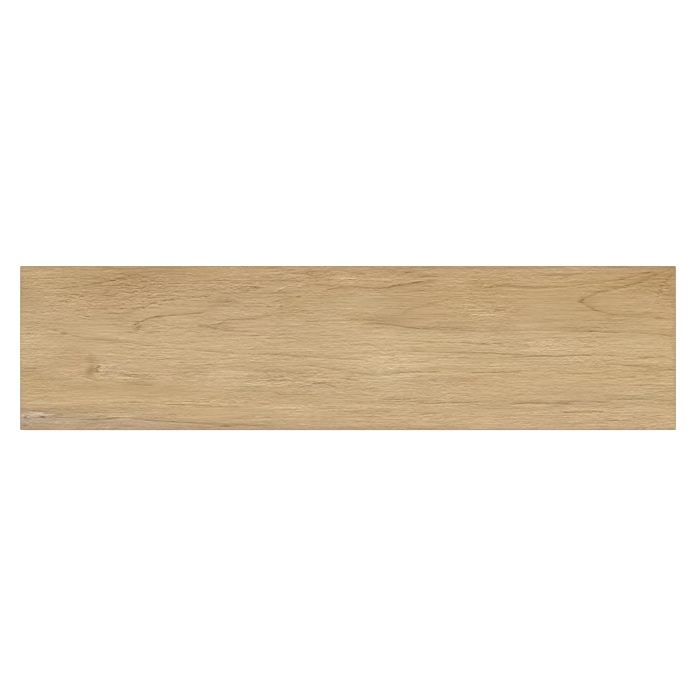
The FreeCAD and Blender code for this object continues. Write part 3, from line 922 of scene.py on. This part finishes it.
def new_group(name: str, inputs: Mapping[str, float], outputs: Sequence[str]) -> tuple[Graph, Any, Any]:
    """Starts a shader node group of plain values.

    Args:
        name: The group's name.
        inputs: Each input's name and usual value.
        outputs: Each output's name.

    Returns:
        The group's graph, its inputs as sockets, and its output node.
    """
    tree = bpy.data.node_groups.new(name, "ShaderNodeTree")
    for socket, value in inputs.items():
        made = tree.interface.new_socket(name=socket, in_out="INPUT", socket_type="NodeSocketFloat")
        made.default_value = value
    for socket in outputs:
        tree.interface.new_socket(name=socket, in_out="OUTPUT", socket_type="NodeSocketFloat")
    graph = Graph(tree)
    return graph, graph.add("NodeGroupInput").outputs, graph.add("NodeGroupOutput")


def streak_group() -> bpy.types.NodeTree:
    """Builds the streak pattern that fibres, pores and grinding marks share, even about zero.

    Each row of streaks is drawn out into a level step, so that a streak doesn't slant into the next row.
    """
    sockets = {"Along": 0.0, "Across": 0.0, "Length": 10.0, "Thickness": 1.0, "Seed": 0.0, "Detail": 1.0}
    graph, given, leave = new_group("Streaks", sockets, ("Value",))
    rows = graph.math("DIVIDE", given["Across"], given["Thickness"])
    row = graph.math("FLOOR", rows)
    within = graph.minus(graph.minus(rows, row), 0.5)
    cubed = graph.math("POWER", graph.math("ABSOLUTE", within), 3.0)
    signed = graph.times(cubed, graph.math("SIGN", within))
    level = graph.plus(graph.plus(row, 0.5), graph.times(signed, 4.0))
    along = graph.math("DIVIDE", given["Along"], given["Length"])
    place = graph.add("ShaderNodeCombineXYZ", {"X": along, "Y": level, "Z": given["Seed"]}).outputs[0]
    noise = graph.add("ShaderNodeTexNoise", {"Vector": place, "Scale": 1.0, "Detail": given["Detail"]})
    graph.feed(leave, {"Value": graph.times(graph.minus(noise.outputs[0], 0.5), NOISE_GAIN)})
    return graph.tree


def dash_group() -> bpy.types.NodeTree:
    """Builds rows of level dashes that end abruptly, each of one tone, even about zero."""
    sockets = {"Along": 0.0, "Across": 0.0, "Length": 10.0, "Thickness": 1.0, "Seed": 0.0}
    graph, given, leave = new_group("Dashes", sockets, ("Value",))
    row = graph.math("FLOOR", graph.math("DIVIDE", given["Across"], given["Thickness"]))
    seeded = graph.plus(row, given["Seed"])
    start = graph.add("ShaderNodeTexWhiteNoise", {"W": seeded}, noise_dimensions="1D")
    along = graph.math("DIVIDE", given["Along"], given["Length"])
    along = graph.plus(along, graph.times(start.outputs["Value"], DASH_SCATTER))
    cells = graph.add("ShaderNodeTexVoronoi", {"W": along, "Scale": 1.0}, voronoi_dimensions="1D")
    even = graph.minus(graph.times(graph.red_of(cells.outputs["Color"]), 2.0), 1.0)
    graph.feed(leave, {"Value": graph.math("POWER", even, 3.0)})
    return graph.tree


def growth_line_group() -> bpy.types.NodeTree:
    """Builds a growth line's tone across itself: a dark core, late wood that fades, and a pale far edge."""
    late_reach, pale_place = 4.5, 1.9
    sockets = {"Offset": 0.0, "Ink": 0.0, "Late wood": 0.16, "Pale edge": 0.3}
    graph, given, leave = new_group("Growth line", sockets, ("Value",))

    def bell(offset: Any, width: float) -> bpy.types.NodeSocket:
        """Gives 1 in the middle, falling away over the width on both sides."""
        scaled = graph.math("DIVIDE", offset, width)
        return graph.math("EXPONENT", graph.times(graph.times(scaled, scaled), -1.0))

    late_side = graph.math("GREATER_THAN", given["Offset"], 0.0)
    late = graph.times(graph.times(bell(given["Offset"], late_reach), late_side), given["Late wood"])
    pale = graph.times(bell(graph.plus(given["Offset"], pale_place), 1.0), given["Pale edge"])
    profile = graph.minus(graph.plus(bell(given["Offset"], 1.0), late), pale)
    graph.feed(leave, {"Value": graph.times(profile, given["Ink"])})
    return graph.tree


def speckle_group() -> bpy.types.NodeTree:
    """Builds the mottle and specks of fired clay, for the ground sides and the keyed back."""
    most_specks, dot_core, dot_edge = 0.2, 0.12, 0.34
    graph, given, leave = new_group(
        "Clay speckle", {"Grain": 1.2, "Specks": 0.5, "Seed": 0.0}, ("Mottle", "Speck")
    )
    place = graph.add("ShaderNodeTexCoord").outputs["Object"]
    shifted = graph.add("ShaderNodeVectorMath", {0: place, 1: given["Seed"]}, operation="ADD").outputs[0]
    per_metre = graph.math("DIVIDE", 1 / MM, given["Grain"])
    mottle = graph.add("ShaderNodeTexNoise", {"Vector": shifted, "Scale": per_metre, "Detail": 4.0})
    specks = graph.add("ShaderNodeTexVoronoi", {"Vector": shifted, "Scale": per_metre})
    chosen = graph.red_of(specks.outputs["Color"])
    picked = graph.math("LESS_THAN", chosen, graph.times(given["Specks"], most_specks))
    dot = graph.remap(specks.outputs["Distance"], dot_core, dot_edge, 1.0, 0.0)
    graph.feed(leave, {"Mottle": graph.minus(mottle.outputs[0], 0.5), "Speck": graph.times(dot, picked)})
    return graph.tree


@dataclass
class NodeGroups:
    """The node groups that the finishes share."""

    streaks: bpy.types.NodeTree = field(default_factory=streak_group)
    dashes: bpy.types.NodeTree = field(default_factory=dash_group)
    growth_line: bpy.types.NodeTree = field(default_factory=growth_line_group)
    speckle: bpy.types.NodeTree = field(default_factory=speckle_group)


def new_material(name: str) -> tuple[bpy.types.Material, Graph, bpy.types.Node]:
    """Starts a material with a Principled shader and gives it, its graph and the shader."""
    material = bpy.data.materials.new(name)
    material.use_nodes = True
    graph = Graph(material.node_tree)
    return material, graph, graph.existing("BSDF_PRINCIPLED")


@dataclass(frozen=True)
class StreakLayer:
    """One layer of streaks in the print: its size in millimetres and how much it tells.

    A layer with an onset shows only its strongest streaks. A layer with an offset copy has a fainter copy of
    the
    opposite tone beside each streak: partly the print's own emboss-like pairs, partly painted relief
    shading, a painted highlight by each dark streak and painted shade by each pale one. A layer that follows
    the stipple is stronger where the figure is busy. A crisp layer is made of dashes that end abruptly.
    """

    length: float
    thickness: float
    contrast: float
    seed: float
    onset: float | None = None
    # How far across the opposite-toned copy lies; the copy is painted relief shading, partly the print's own
    # emboss.
    shift: float = 0.0
    follows: float = 0.0
    crisp: bool = False


@dataclass(frozen=True)
class PrintedFace:
    """The matt glaze over the printed figure.

    The print's tone runs from about -1 to 1, and the wash is multiplied by a colour between dark and light.
    """

    dark: Colour = (0.745, 0.696, 0.595, 1.0)
    light: Colour = (1.244, 1.300, 1.420, 1.0)
    # Most layers carry an opposite-toned copy beside their streaks: painted relief shading, partly the
    # print's own emboss.
    layers: tuple[StreakLayer, ...] = (
        StreakLayer(1.5, 0.92, 0.42, 2.3, shift=0.92, follows=0.8, crisp=True),
        StreakLayer(3.0, 0.92, 0.46, 3.1, shift=0.92, follows=0.8, crisp=True),
        StreakLayer(7.0, 0.95, 0.50, 7.7, shift=0.95, follows=0.6, crisp=True),
        StreakLayer(16.0, 0.93, 0.42, 11.9, shift=0.93, follows=0.3, crisp=True),
        StreakLayer(36.0, 0.97, 0.28, 17.2, shift=0.97, follows=0.1, crisp=True),
        StreakLayer(5.0, 1.50, 0.15, 5.3, follows=0.6),
        StreakLayer(60.0, 1.30, 0.27, 23.1),
        StreakLayer(150.0, 3.4, 0.12, 29.3),
        StreakLayer(50.0, 0.90, -0.60, 37.1, onset=0.5),
        StreakLayer(4.5, 0.90, 0.45, 41.9, onset=0.35, shift=1.0, follows=1.0),
    )
    onset_width: float = 0.5
    # Strength of the opposite-toned copy: painted highlight and painted shade beside each streak, partly the
    # print's own emboss.
    print_and_shading_twin: float = 0.6
    stipple_gain: float = 2.2
    pressed_middle: float = 0.3
    pressed_contrast: float = 0.25
    ragged: StreakLayer = StreakLayer(14.0, 1.2, 1.0, 53.3)
    waver: float = 0.14
    knot_ink: float = 0.9
    knot_waver: float = 2.2
    tone_height: float = 0.35
    bump_strength: float = 0.6
    bump_depth: float = 0.00004
    roughness: float = 0.56
    roughness_in_pores: float = 0.68
    pore_tone: float = -1.5
    specular: float = 0.35

    def streaks(self, graph: Graph, groups: NodeGroups, layer: StreakLayer, along: Any, across: Any) -> Any:
        """Adds one layer's streaks, and gives their tone."""
        pattern = groups.dashes if layer.crisp else groups.streaks
        node = graph.group(
            pattern,
            Along=along,
            Across=across,
            Length=layer.length,
            Thickness=layer.thickness,
            Seed=layer.seed,
        )
        value = node.outputs["Value"]
        if layer.onset is None:
            return value
        return graph.remap(value, layer.onset, layer.onset + self.onset_width, 0.0, 1.0)

    def grain(self, graph: Graph, groups: NodeGroups, along: Any, across: Any) -> bpy.types.NodeSocket:
        """Adds up all the streak layers, with their painted relief shading, and the pressed grain."""
        stipple = graph.attribute(STIPPLE)
        pressed = graph.minus(self.pressed_middle, graph.attribute(PRESSED))
        tone = graph.times(pressed, self.pressed_contrast)
        for layer in self.layers:
            value = self.streaks(graph, groups, layer, along, across)
            # Painted relief shading, partly the print's own emboss: a fainter copy of the opposite tone
            # beside each streak.
            if layer.shift:
                beside = self.streaks(graph, groups, layer, along, graph.plus(across, layer.shift))
                value = graph.minus(value, graph.times(beside, self.print_and_shading_twin))
            if layer.follows:
                busy = graph.times(stipple, self.stipple_gain * layer.follows)
                value = graph.times(value, graph.plus(busy, 1 - layer.follows))
            tone = graph.plus(tone, graph.times(value, layer.contrast))
        return tone

    def growth(self, graph: Graph, groups: NodeGroups, line_layers: int) -> bpy.types.NodeSocket:
        """Adds up the growth lines and the knots, each a little ragged.

        Args:
            graph: The material's graph.
            groups: The shared node groups.
            line_layers: How many layers of lines the mesh carries.

        Returns:
            How dark they are.
        """
        along, across, _ = graph.place()
        wavering = graph.times(self.streaks(graph, groups, self.ragged, along, across), self.waver)
        uneven = graph.plus(graph.times(wavering, self.knot_waver), self.knot_ink)
        dark = graph.times(graph.attribute(KNOT_INK), uneven)
        for number in range(line_layers):
            offset = graph.plus(graph.attribute(f"{LINE_OFFSET}{number}"), wavering)
            ink = graph.attribute(f"{LINE_INK}{number}")
            line = graph.group(groups.growth_line, Offset=offset, Ink=ink)
            dark = graph.plus(dark, line.outputs["Value"])
        return dark

    def material(self, groups: NodeGroups, line_layers: int) -> bpy.types.Material:
        """Builds the material.

        Args:
            groups: The shared node groups.
            line_layers: How many layers of growth lines the mesh carries.

        Returns:
            The material.
        """
        material, graph, shader = new_material("printed_matt_glaze")
        along, _, _ = graph.place()
        grain = self.grain(graph, groups, along, graph.attribute(ACROSS))
        tone = graph.minus(grain, self.growth(graph, groups, line_layers))
        toned = graph.blend(graph.plus(graph.times(tone, 0.5), 0.5), self.dark, self.light)
        height = graph.plus(graph.times(tone, self.tone_height), 0.5)
        finish = {
            "Base Color": graph.blend(1.0, graph.attribute(WASH, "Color"), toned, "MULTIPLY"),
            "Normal": graph.bump(height, self.bump_strength, self.bump_depth),
            "Roughness": graph.remap(tone, self.pore_tone, 1.0, self.roughness_in_pores, self.roughness),
            "Specular IOR Level": self.specular,
        }
        graph.feed(shader, finish)
        return material


@dataclass(frozen=True)
class FiredBody:
    """The bare fired body of the ground sides, with the brown edge of the glaze and print at its top."""

    colour: Colour = (0.300, 0.245, 0.172, 1.0)
    dark: Colour = (0.210, 0.168, 0.118, 1.0)
    middle: float = 0.8
    grain: float = 0.9
    mottle: float = 1.3
    specks: float = 0.5
    speck_depth: float = 0.5
    mark_length: float = 40.0
    mark_thickness: float = 0.35
    mark_contrast: float = 0.12
    glaze: Colour = (0.185, 0.125, 0.015, 1.0)
    glaze_depth: float = 0.75
    glaze_blur: float = 0.08
    roughness: float = 0.72
    glaze_roughness: float = 0.35
    bump_strength: float = 0.7
    bump_depth: float = 0.00005
    specular: float = 0.3

    def material(self, groups: NodeGroups, top: float) -> bpy.types.Material:
        """Builds the material.

        Args:
            groups: The shared node groups.
            top: Height of the face, in millimetres.

        Returns:
            The material.
        """
        material, graph, shader = new_material("ground_porcelain_body")
        along, across, height = graph.place()
        clay = graph.group(groups.speckle, Grain=self.grain, Specks=self.specks).outputs
        round_tile = graph.plus(along, across)
        marks = graph.group(
            groups.streaks,
            Along=round_tile,
            Across=height,
            Length=self.mark_length,
            Thickness=self.mark_thickness,
        )
        tone = graph.times(clay["Mottle"], self.mottle)
        tone = graph.plus(tone, graph.times(marks.outputs["Value"], self.mark_contrast))
        tone = graph.minus(tone, graph.times(clay["Speck"], self.speck_depth))
        bare = graph.blend(graph.plus(tone, self.middle), self.dark, self.colour)
        edge = top - self.glaze_depth
        glazed = graph.remap(height, edge - self.glaze_blur, edge + self.glaze_blur, 0.0, 1.0)
        smoother = graph.times(glazed, self.glaze_roughness - self.roughness)
        finish = {
            "Base Color": graph.blend(glazed, bare, self.glaze),
            "Normal": graph.bump(tone, self.bump_strength, self.bump_depth),
            "Roughness": graph.plus(smoother, self.roughness),
            "Specular IOR Level": self.specular,
        }
        graph.feed(shader, finish)
        return material


@dataclass(frozen=True)
class KeyedBack:
    """The unglazed back: kiln wash rubbed onto the ribs, with cleaner clay in the cells."""

    clay: Colour = (0.430, 0.350, 0.255, 1.0)
    dark: Colour = (0.300, 0.240, 0.175, 1.0)
    kiln_wash: Colour = (0.690, 0.660, 0.600, 1.0)
    middle: float = 0.75
    grain: float = 1.6
    mottle: float = 1.6
    specks: float = 0.8
    speck_depth: float = 0.7
    clay_seed: float = 3.0
    roller_length: float = 160.0
    roller_thickness: float = 26.0
    roller_seed: float = 8.0
    roller_contrast: float = 0.35
    wash_mottle: float = 1.2
    wash_height: float = 0.08
    wash_reach: float = 0.6
    wash_in_cells: float = 0.12
    roughness: float = 0.85
    rough_mottle: float = -0.2
    bump_strength: float = 0.8
    bump_depth: float = 0.0001
    specular: float = 0.2

    def material(self, groups: NodeGroups, key_depth: float) -> bpy.types.Material:
        """Builds the material.

        Args:
            groups: The shared node groups.
            key_depth: Depth of the key cells, in millimetres.

        Returns:
            The material.
        """
        material, graph, shader = new_material("keyed_unglazed_back")
        along, across, height = graph.place()
        grains = {"Grain": self.grain, "Specks": self.specks, "Seed": self.clay_seed}
        clay = graph.group(groups.speckle, **grains).outputs
        rollers = graph.group(
            groups.streaks,
            Along=across,
            Across=along,
            Length=self.roller_length,
            Thickness=self.roller_thickness,
            Seed=self.roller_seed,
        )
        tone = graph.plus(graph.times(clay["Mottle"], self.mottle), self.middle)
        tone = graph.minus(tone, graph.times(clay["Speck"], self.speck_depth))
        reach = key_depth * self.wash_reach
        on_ribs = graph.remap(height, self.wash_height, reach, 1.0, self.wash_in_cells)
        patchy = graph.plus(graph.times(rollers.outputs["Value"], self.roller_contrast), 0.5)
        patchy = graph.plus(patchy, graph.times(clay["Mottle"], self.wash_mottle), clamp=True)
        washed = graph.times(on_ribs, patchy)
        finish = {
            "Base Color": graph.blend(washed, graph.blend(tone, self.dark, self.clay), self.kiln_wash),
            "Normal": graph.bump(tone, self.bump_strength, self.bump_depth),
            "Roughness": graph.plus(graph.times(clay["Mottle"], self.rough_mottle), self.roughness),
            "Specular IOR Level": self.specular,
        }
        graph.feed(shader, finish)
        return material


def select_only(*pieces: bpy.types.Object) -> None:
    """Selects these pieces and nothing else, so that an operator acts only on them. The last is active."""
    bpy.ops.object.select_all(action="DESELECT")
    for piece in pieces:
        piece.select_set(True)
        bpy.context.view_layer.objects.active = piece


def edit(piece: bpy.types.Object, mode: str) -> None:
    """Opens a piece for editing, with nothing selected on its mesh.

    Args:
        piece: The object to edit.
        mode: VERT, EDGE or FACE.
    """
    select_only(piece)
    bpy.ops.object.mode_set(mode="EDIT")
    bpy.ops.mesh.select_mode(type=mode)
    bpy.ops.mesh.select_all(action="DESELECT")


def leave_edit() -> None:
    """Goes back to object mode."""
    bpy.ops.object.mode_set(mode="OBJECT")


def select_open_edges() -> None:
    """Selects the edges that only one face has."""
    others = ("use_wire", "use_multi_face", "use_non_contiguous", "use_verts")
    bpy.ops.mesh.select_non_manifold(extend=False, use_boundary=True, **dict.fromkeys(others, False))


def vertex_places(piece: bpy.types.Object) -> np.ndarray:
    """Gives the place of each vertex of a piece, in millimetres."""
    places = np.empty(len(piece.data.vertices) * 3)
    piece.data.vertices.foreach_get("co", places)
    return places.reshape(-1, 3) / MM


def new_grid(
    name: str, faces: tuple[int, int], size: tuple[float, float], height: float
) -> bpy.types.Object:
    """Adds a level grid about the middle, its size applied to its mesh.

    Args:
        name: The object's name.
        faces: How many faces it has along the plank and across it.
        size: How large it is along the plank and across it.
        height: How far it is above the floor.

    Returns:
        The grid's object.
    """
    select_only()
    place = (0, 0, height * MM)
    columns, rows = faces
    bpy.ops.mesh.primitive_grid_add(x_subdivisions=columns, y_subdivisions=rows, size=1.0, location=place)
    grid = bpy.context.object
    grid.name = name
    grid.scale = (size[0] * MM, size[1] * MM, 1)
    bpy.ops.object.transform_apply(location=True, rotation=True, scale=True)
    return grid


class MapBand(Enum):
    """Where each side of the tile lies on its map: left, right, low and high, as shares of the map."""

    FACE = (0.004, 0.996, 0.223, 0.996)
    BACK = (0.004, 0.996, 0.004, 0.150)
    FRONT_SIDE = (0.004, 0.996, 0.153, 0.173)
    REAR_SIDE = (0.004, 0.996, 0.176, 0.196)
    LEFT_END = (0.004, 0.490, 0.199, 0.219)
    RIGHT_END = (0.510, 0.996, 0.199, 0.219)

    def spread(self, u: np.ndarray, v: np.ndarray) -> np.ndarray:
        """Lays places from 0 to 1 both ways out over the band."""
        left, right, low, high = self.value
        return np.column_stack((left + u * (right - left), low + v * (high - low)))


@dataclass
class PlankTile:
    """The dressed tile: a printed face with its relief, ground sides and a keyed back. In millimetres."""

    length: float
    width: float
    thickness: float

    arris: float = 0.6
    back_edge: float = 0.2
    key_cell: float = 19.5
    key_rib: float = 3.0
    key_depth: float = 0.7
    key_draft: float = 40.0
    rim_least: float = 8.0
    cell_corner: float = 2.2
    cell_corner_steps: int = 2

    step_along: float = 2.0
    step_across: float = 0.5
    relief: float = 0.18
    grain_rows: PressedRows = PressedRows()
    swell: Unevenness = Unevenness(0.5, 90, 28, 63)
    rows_share: float = 0.5
    swell_share: float = 0.14
    groove_share: float = 0.36
    groove_width: float = 2.0

    face_least_up: float = 0.85
    back_least_down: float = 0.5
    smooth_below: float = 40.0
    line_layers: int = 0

    def build(self) -> bpy.types.Object:
        """Builds the tile as one closed mesh with its finishes, at rest on z = 0.

        Returns:
            The tile's object.
        """
        tile = self.press_face()
        self.print_figure(tile)
        self.press_relief(tile)
        self.grind_sides(tile)
        self.join_back(tile, self.press_back())
        self.finish_surfaces(tile)
        self.lay_out_map(tile)
        return tile

    def inside_arris(self) -> tuple[float, float]:
        """Gives the length and width of the flat face inside the arris."""
        return self.length - 2 * self.arris, self.width - 2 * self.arris

    def press_face(self) -> bpy.types.Object:
        """Lays the flat face inside the arris, as a fine grid."""
        length, width = self.inside_arris()
        faces = (round(length / self.step_along), round(width / self.step_across))
        return new_grid("printed_plank", faces, (length, width), self.thickness)

    def print_figure(self, tile: bpy.types.Object) -> None:
        """Writes the figure onto the face's vertices: its wash, lines, knots, stipple, flow and depth."""
        length, width = self.inside_arris()
        figure = OakFigure(length / 2, width / 2)
        x, y, _ = vertex_places(tile).T
        across = figure.across(x, y)
        pressed = self.grain_rows.depth(x, across)
        knots = figure.knot_ink(x, y)
        values = {ACROSS: across, PRESSED: pressed, STIPPLE: figure.stipple(x, y), KNOT_INK: knots}
        layers = figure.line_layers()
        self.line_layers = len(layers)
        grooves = np.clip(knots, 0, 1)
        for number, layer in enumerate(layers):
            offset, ink = figure.line_fields(x, y, layer)
            values[f"{LINE_OFFSET}{number}"] = offset
            values[f"{LINE_INK}{number}"] = ink
            grooves = np.maximum(grooves, ink * np.exp(-((offset / self.groove_width) ** 2)))
        wash = np.column_stack((figure.wash(x, y), np.ones(len(x))))
        attributes = tile.data.attributes
        attributes.new(WASH, "FLOAT_COLOR", "POINT").data.foreach_set("color", wash.ravel())
        for name, value in values.items():
            attributes.new(name, "FLOAT", "POINT").data.foreach_set("value", value)
        swell = 0.5 + self.swell.at(x, y)
        depth = self.rows_share * pressed + self.swell_share * swell + self.groove_share * grooves
        depth = np.clip(depth, 0, 1)
        group = tile.vertex_groups.new(name=DEPTH_GROUP)
        for index, weight in enumerate(depth - depth.min()):
            group.add([index], weight, "REPLACE")

    def press_relief(self, tile: bpy.types.Object) -> None:
        """Presses the grain into the face with a Displace modifier."""
        press = tile.modifiers.new("grain_relief", "DISPLACE")
        press.direction = "Z"
        press.vertex_group = DEPTH_GROUP
        press.mid_level = 0.0
        press.strength = -self.relief * MM
        bpy.ops.object.modifier_apply(modifier=press.name)
        tile.vertex_groups.clear()

    def grind_sides(self, tile: bpy.types.Object) -> None:
        """Grinds the arris and the four sides, down to the edge of the back."""
        length, width = self.inside_arris()
        foot_length, foot_width = self.length - 2 * self.back_edge, self.width - 2 * self.back_edge
        steps = (
            (self.thickness - self.arris, self.length / length, self.width / width),
            (self.back_edge, 1.0, 1.0),
            (0.0, foot_length / self.length, foot_width / self.width),
        )
        edit(tile, "EDGE")
        select_open_edges()
        for height, wider_x, wider_y in steps:
            bpy.ops.mesh.extrude_edges_move()
            bpy.ops.transform.resize(value=(wider_x, wider_y, 0), center_override=(0, 0, height * MM))
        leave_edit()

    def press_back(self) -> bpy.types.Object:
        """Presses the back: a grid of key cells with leaning walls and rounded corners."""
        pitch = self.key_cell + self.key_rib
        columns = int((self.length - 2 * self.rim_least + self.key_rib) / pitch)
        rows = int((self.width - 2 * self.rim_least + self.key_rib) / pitch)
        lean = self.key_depth * math.tan(math.radians(self.key_draft))
        back = new_grid("keyed_back", (columns, rows), (columns * pitch, rows * pitch), 0)
        edit(back, "FACE")
        bpy.ops.mesh.select_all(action="SELECT")
        bpy.ops.mesh.flip_normals()
        bpy.ops.mesh.inset(thickness=self.key_rib / 2 * MM, use_individual=True)
        bpy.ops.mesh.inset(thickness=lean * MM, depth=-self.key_depth * MM, use_individual=True)
        leave_edit()
        self.round_cells(back)
        return back

    def round_cells(self, back: bpy.types.Object) -> None:
        """Rounds the corners of every key cell: the edges that run from its mouth to its floor."""
        heights = vertex_places(back)[:, 2]
        edit(back, "EDGE")
        leave_edit()
        for edge in back.data.edges:
            edge.select = bool(np.ptp(heights[list(edge.vertices)]) > self.key_depth / 2)
        bpy.ops.object.mode_set(mode="EDIT")
        bpy.ops.mesh.bevel(
            offset=self.cell_corner * MM,
            offset_type="WIDTH",
            segments=self.cell_corner_steps,
            clamp_overlap=True,
        )
        leave_edit()

    def join_back(self, tile: bpy.types.Object, back: bpy.types.Object) -> None:
        """Joins the back to the sides and closes the flat rim between them."""
        select_only(back, tile)
        bpy.ops.object.join()
        edit(tile, "EDGE")
        select_open_edges()
        bpy.ops.mesh.fill(use_beauty=True)
        bpy.ops.mesh.select_all(action="SELECT")
        bpy.ops.mesh.normals_make_consistent(inside=False)
        leave_edit()

    def finish_surfaces(self, tile: bpy.types.Object) -> None:
        """Gives each surface its finish and smooths the shading between gentle slopes."""
        groups = NodeGroups()
        finishes = {
            Zone.FACE: PrintedFace().material(groups, self.line_layers),
            Zone.BODY: FiredBody().material(groups, self.thickness),
            Zone.BACK: KeyedBack().material(groups, self.key_depth),
        }
        tile.data.materials.clear()
        for zone in Zone:
            tile.data.materials.append(finishes[zone])
        for polygon in tile.data.polygons:
            polygon.material_index = self.zone(polygon).value
        select_only(tile)
        bpy.ops.object.shade_smooth_by_angle(angle=math.radians(self.smooth_below))

    def zone(self, polygon: bpy.types.MeshPolygon) -> Zone:
        """Tells which of the tile's surfaces a polygon belongs to, by its height and the way it faces."""
        height, upward = polygon.center.z / MM, polygon.normal.z
        if height > self.thickness - self.arris / 2 and upward > self.face_least_up:
            return Zone.FACE
        if height < 2 * self.key_depth and upward < -self.back_least_down:
            return Zone.BACK
        return Zone.BODY

    def lay_out_map(self, tile: bpy.types.Object) -> None:
        """Lays the surfaces out on one map, mostly the face, and finer across the grain than along."""
        mesh = tile.data
        while mesh.uv_layers:
            mesh.uv_layers.remove(mesh.uv_layers[0])
        layer = mesh.uv_layers.new(name=BAKE_MAP, do_init=False)
        places = vertex_places(tile)
        x, y = places[:, 0] / self.length + 0.5, places[:, 1] / self.width + 0.5
        height = places[:, 2] / self.thickness
        level, ends = (MapBand.FACE, MapBand.BACK), (MapBand.LEFT_END, MapBand.RIGHT_END)
        spread = {
            band: band.spread(y if band in ends else x, y if band in level else height) for band in MapBand
        }
        uv = np.empty((len(mesh.loops), 2))
        for polygon in mesh.polygons:
            end = polygon.loop_start + polygon.loop_total
            uv[polygon.loop_start : end] = spread[self.band(polygon)][list(polygon.vertices)]
        layer.uv.foreach_set("vector", uv.ravel())

    def band(self, polygon: bpy.types.MeshPolygon) -> MapBand:
        """Gives the band of the map that a polygon belongs in."""
        zone, normal = Zone(polygon.material_index), polygon.normal
        if zone is Zone.FACE:
            return MapBand.FACE
        if zone is Zone.BACK:
            return MapBand.BACK
        if abs(normal.y) > abs(normal.x):
            return MapBand.FRONT_SIDE if normal.y < 0 else MapBand.REAR_SIDE
        return MapBand.LEFT_END if normal.x < 0 else MapBand.RIGHT_END


@dataclass(frozen=True)
class Lamp:
    """A square soft lamp: its name, its place and side in metres, and its power in watts."""

    name: str
    place: tuple[float, float, float]
    size: float
    power: float

    def hang(self) -> None:
        """Hangs the lamp so that it points at the tile."""
        data = bpy.data.lights.new(self.name, "AREA")
        data.size = self.size
        data.energy = self.power
        lamp = bpy.data.objects.new(self.name, data)
        bpy.context.scene.collection.objects.link(lamp)
        lamp.location = self.place
        lamp.rotation_mode = "QUATERNION"
        lamp.rotation_quaternion = lamp.location.to_track_quat("Z", "Y")


@dataclass
class Studio:
    """A plain white floor, soft light from all round, and a camera that looks straight down.

    Lengths are in metres, but for the picture, which is in pixels, and the camera's lens and sensor.
    """

    tile_length: float
    tile_top: float

    picture_width: float = 696.0
    tile_in_picture: float = 656.0
    lens: float = 100.0
    sensor: float = 36.0
    nearest: float = 0.01
    farthest: float = 50.0
    floor_size: float = 8.0
    floor_gap: float = 0.00005
    floor_paint: Colour = (0.93, 0.93, 0.93, 1.0)
    floor_roughness: float = 0.9
    floor_specular: float = 0.1
    floor_glow: float = 0.42
    clear_reach: float = 0.0015
    sky: float = 0.78
    lamps: tuple[Lamp, ...] = (
        Lamp("key_light", (-0.9, 1.1, 1.3), 1.2, 10.0),
        Lamp("fill_light", (1.2, -0.8, 1.2), 1.2, 5.0),
    )

    def floor(self) -> bpy.types.Object:
        """Lays the floor, white as the camera sees it, with the tile's soft shadow on it.

        It is clear from below and right under the tile, so that a view from below shows the lit back.

        Returns:
            The floor's object.
        """
        select_only()
        bpy.ops.mesh.primitive_plane_add(size=self.floor_size, location=(0, 0, -self.floor_gap))
        floor = bpy.context.object
        floor.name = "studio_floor"
        material, graph, shader = new_material("white_floor")
        path = graph.add("ShaderNodeLightPath").outputs
        seen = graph.plus(path["Is Camera Ray"], path["Is Glossy Ray"])
        seen = graph.plus(seen, path["Is Transmission Ray"], clamp=True)
        finish = {
            "Base Color": self.floor_paint,
            "Roughness": self.floor_roughness,
            "Specular IOR Level": self.floor_specular,
            "Emission Color": WHITE,
            "Emission Strength": graph.times(seen, self.floor_glow),
        }
        graph.feed(shader, finish)
        from_below = graph.add("ShaderNodeNewGeometry").outputs["Backfacing"]
        under_tile = graph.math("LESS_THAN", path["Ray Length"], self.clear_reach)
        hidden = graph.math("MAXIMUM", from_below, under_tile)
        clear = graph.add("ShaderNodeBsdfTransparent").outputs[0]
        mixed = graph.add("ShaderNodeMixShader", {0: hidden, 1: shader.outputs[0], 2: clear})
        graph.feed(graph.existing("OUTPUT_MATERIAL"), {"Surface": mixed.outputs[0]})
        floor.data.materials.append(material)
        return floor

    def world(self) -> None:
        """Lights the scene evenly, and shows white where a ray meets nothing."""
        world = bpy.data.worlds.new("soft_white_room")
        bpy.context.scene.world = world
        world.use_nodes = True
        graph = Graph(world.node_tree)
        seen = graph.add("ShaderNodeLightPath").outputs["Is Camera Ray"]
        strength = graph.plus(graph.times(seen, 1.0 - self.sky), self.sky)
        graph.feed(graph.existing("BACKGROUND"), {"Color": WHITE, "Strength": strength})

    def camera(self) -> None:
        """Hangs the camera straight over the tile, as far up as the picture's margins need."""
        data = bpy.data.cameras.new("overhead_camera")
        data.lens = self.lens
        data.sensor_width = self.sensor
        data.clip_start, data.clip_end = self.nearest, self.farthest
        camera = bpy.data.objects.new("overhead_camera", data)
        bpy.context.scene.collection.objects.link(camera)
        seen = self.tile_length * self.picture_width / self.tile_in_picture
        camera.location = (0, 0, self.tile_top + seen * self.lens / self.sensor)
        bpy.context.scene.camera = camera

    def build(self) -> None:
        """Sets up the camera, the floor and the lights."""
        self.camera()
        self.floor()
        self.world()
        for lamp in self.lamps:
            lamp.hang()
        bpy.context.scene.view_settings.view_transform = "Standard"


def main() -> None:
    """Builds the studio and the tile, and reports each."""
    logging.basicConfig(level=logging.INFO, format="%(name)s: %(message)s")
    low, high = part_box(NODE)
    length, width, thickness = ((high - low) / MM)[:]
    Studio(tile_length=high.x - low.x, tile_top=high.z).build()
    LOG.info("studio built")
    tile = PlankTile(length, width, thickness).build()
    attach(tile, "root")
    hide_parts(NODE)
    tile.data.calc_loop_triangles()
    LOG.info("%s built, %d triangles", tile.name, len(tile.data.loop_triangles))


if __name__ == "__main__":
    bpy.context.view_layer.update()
    main()
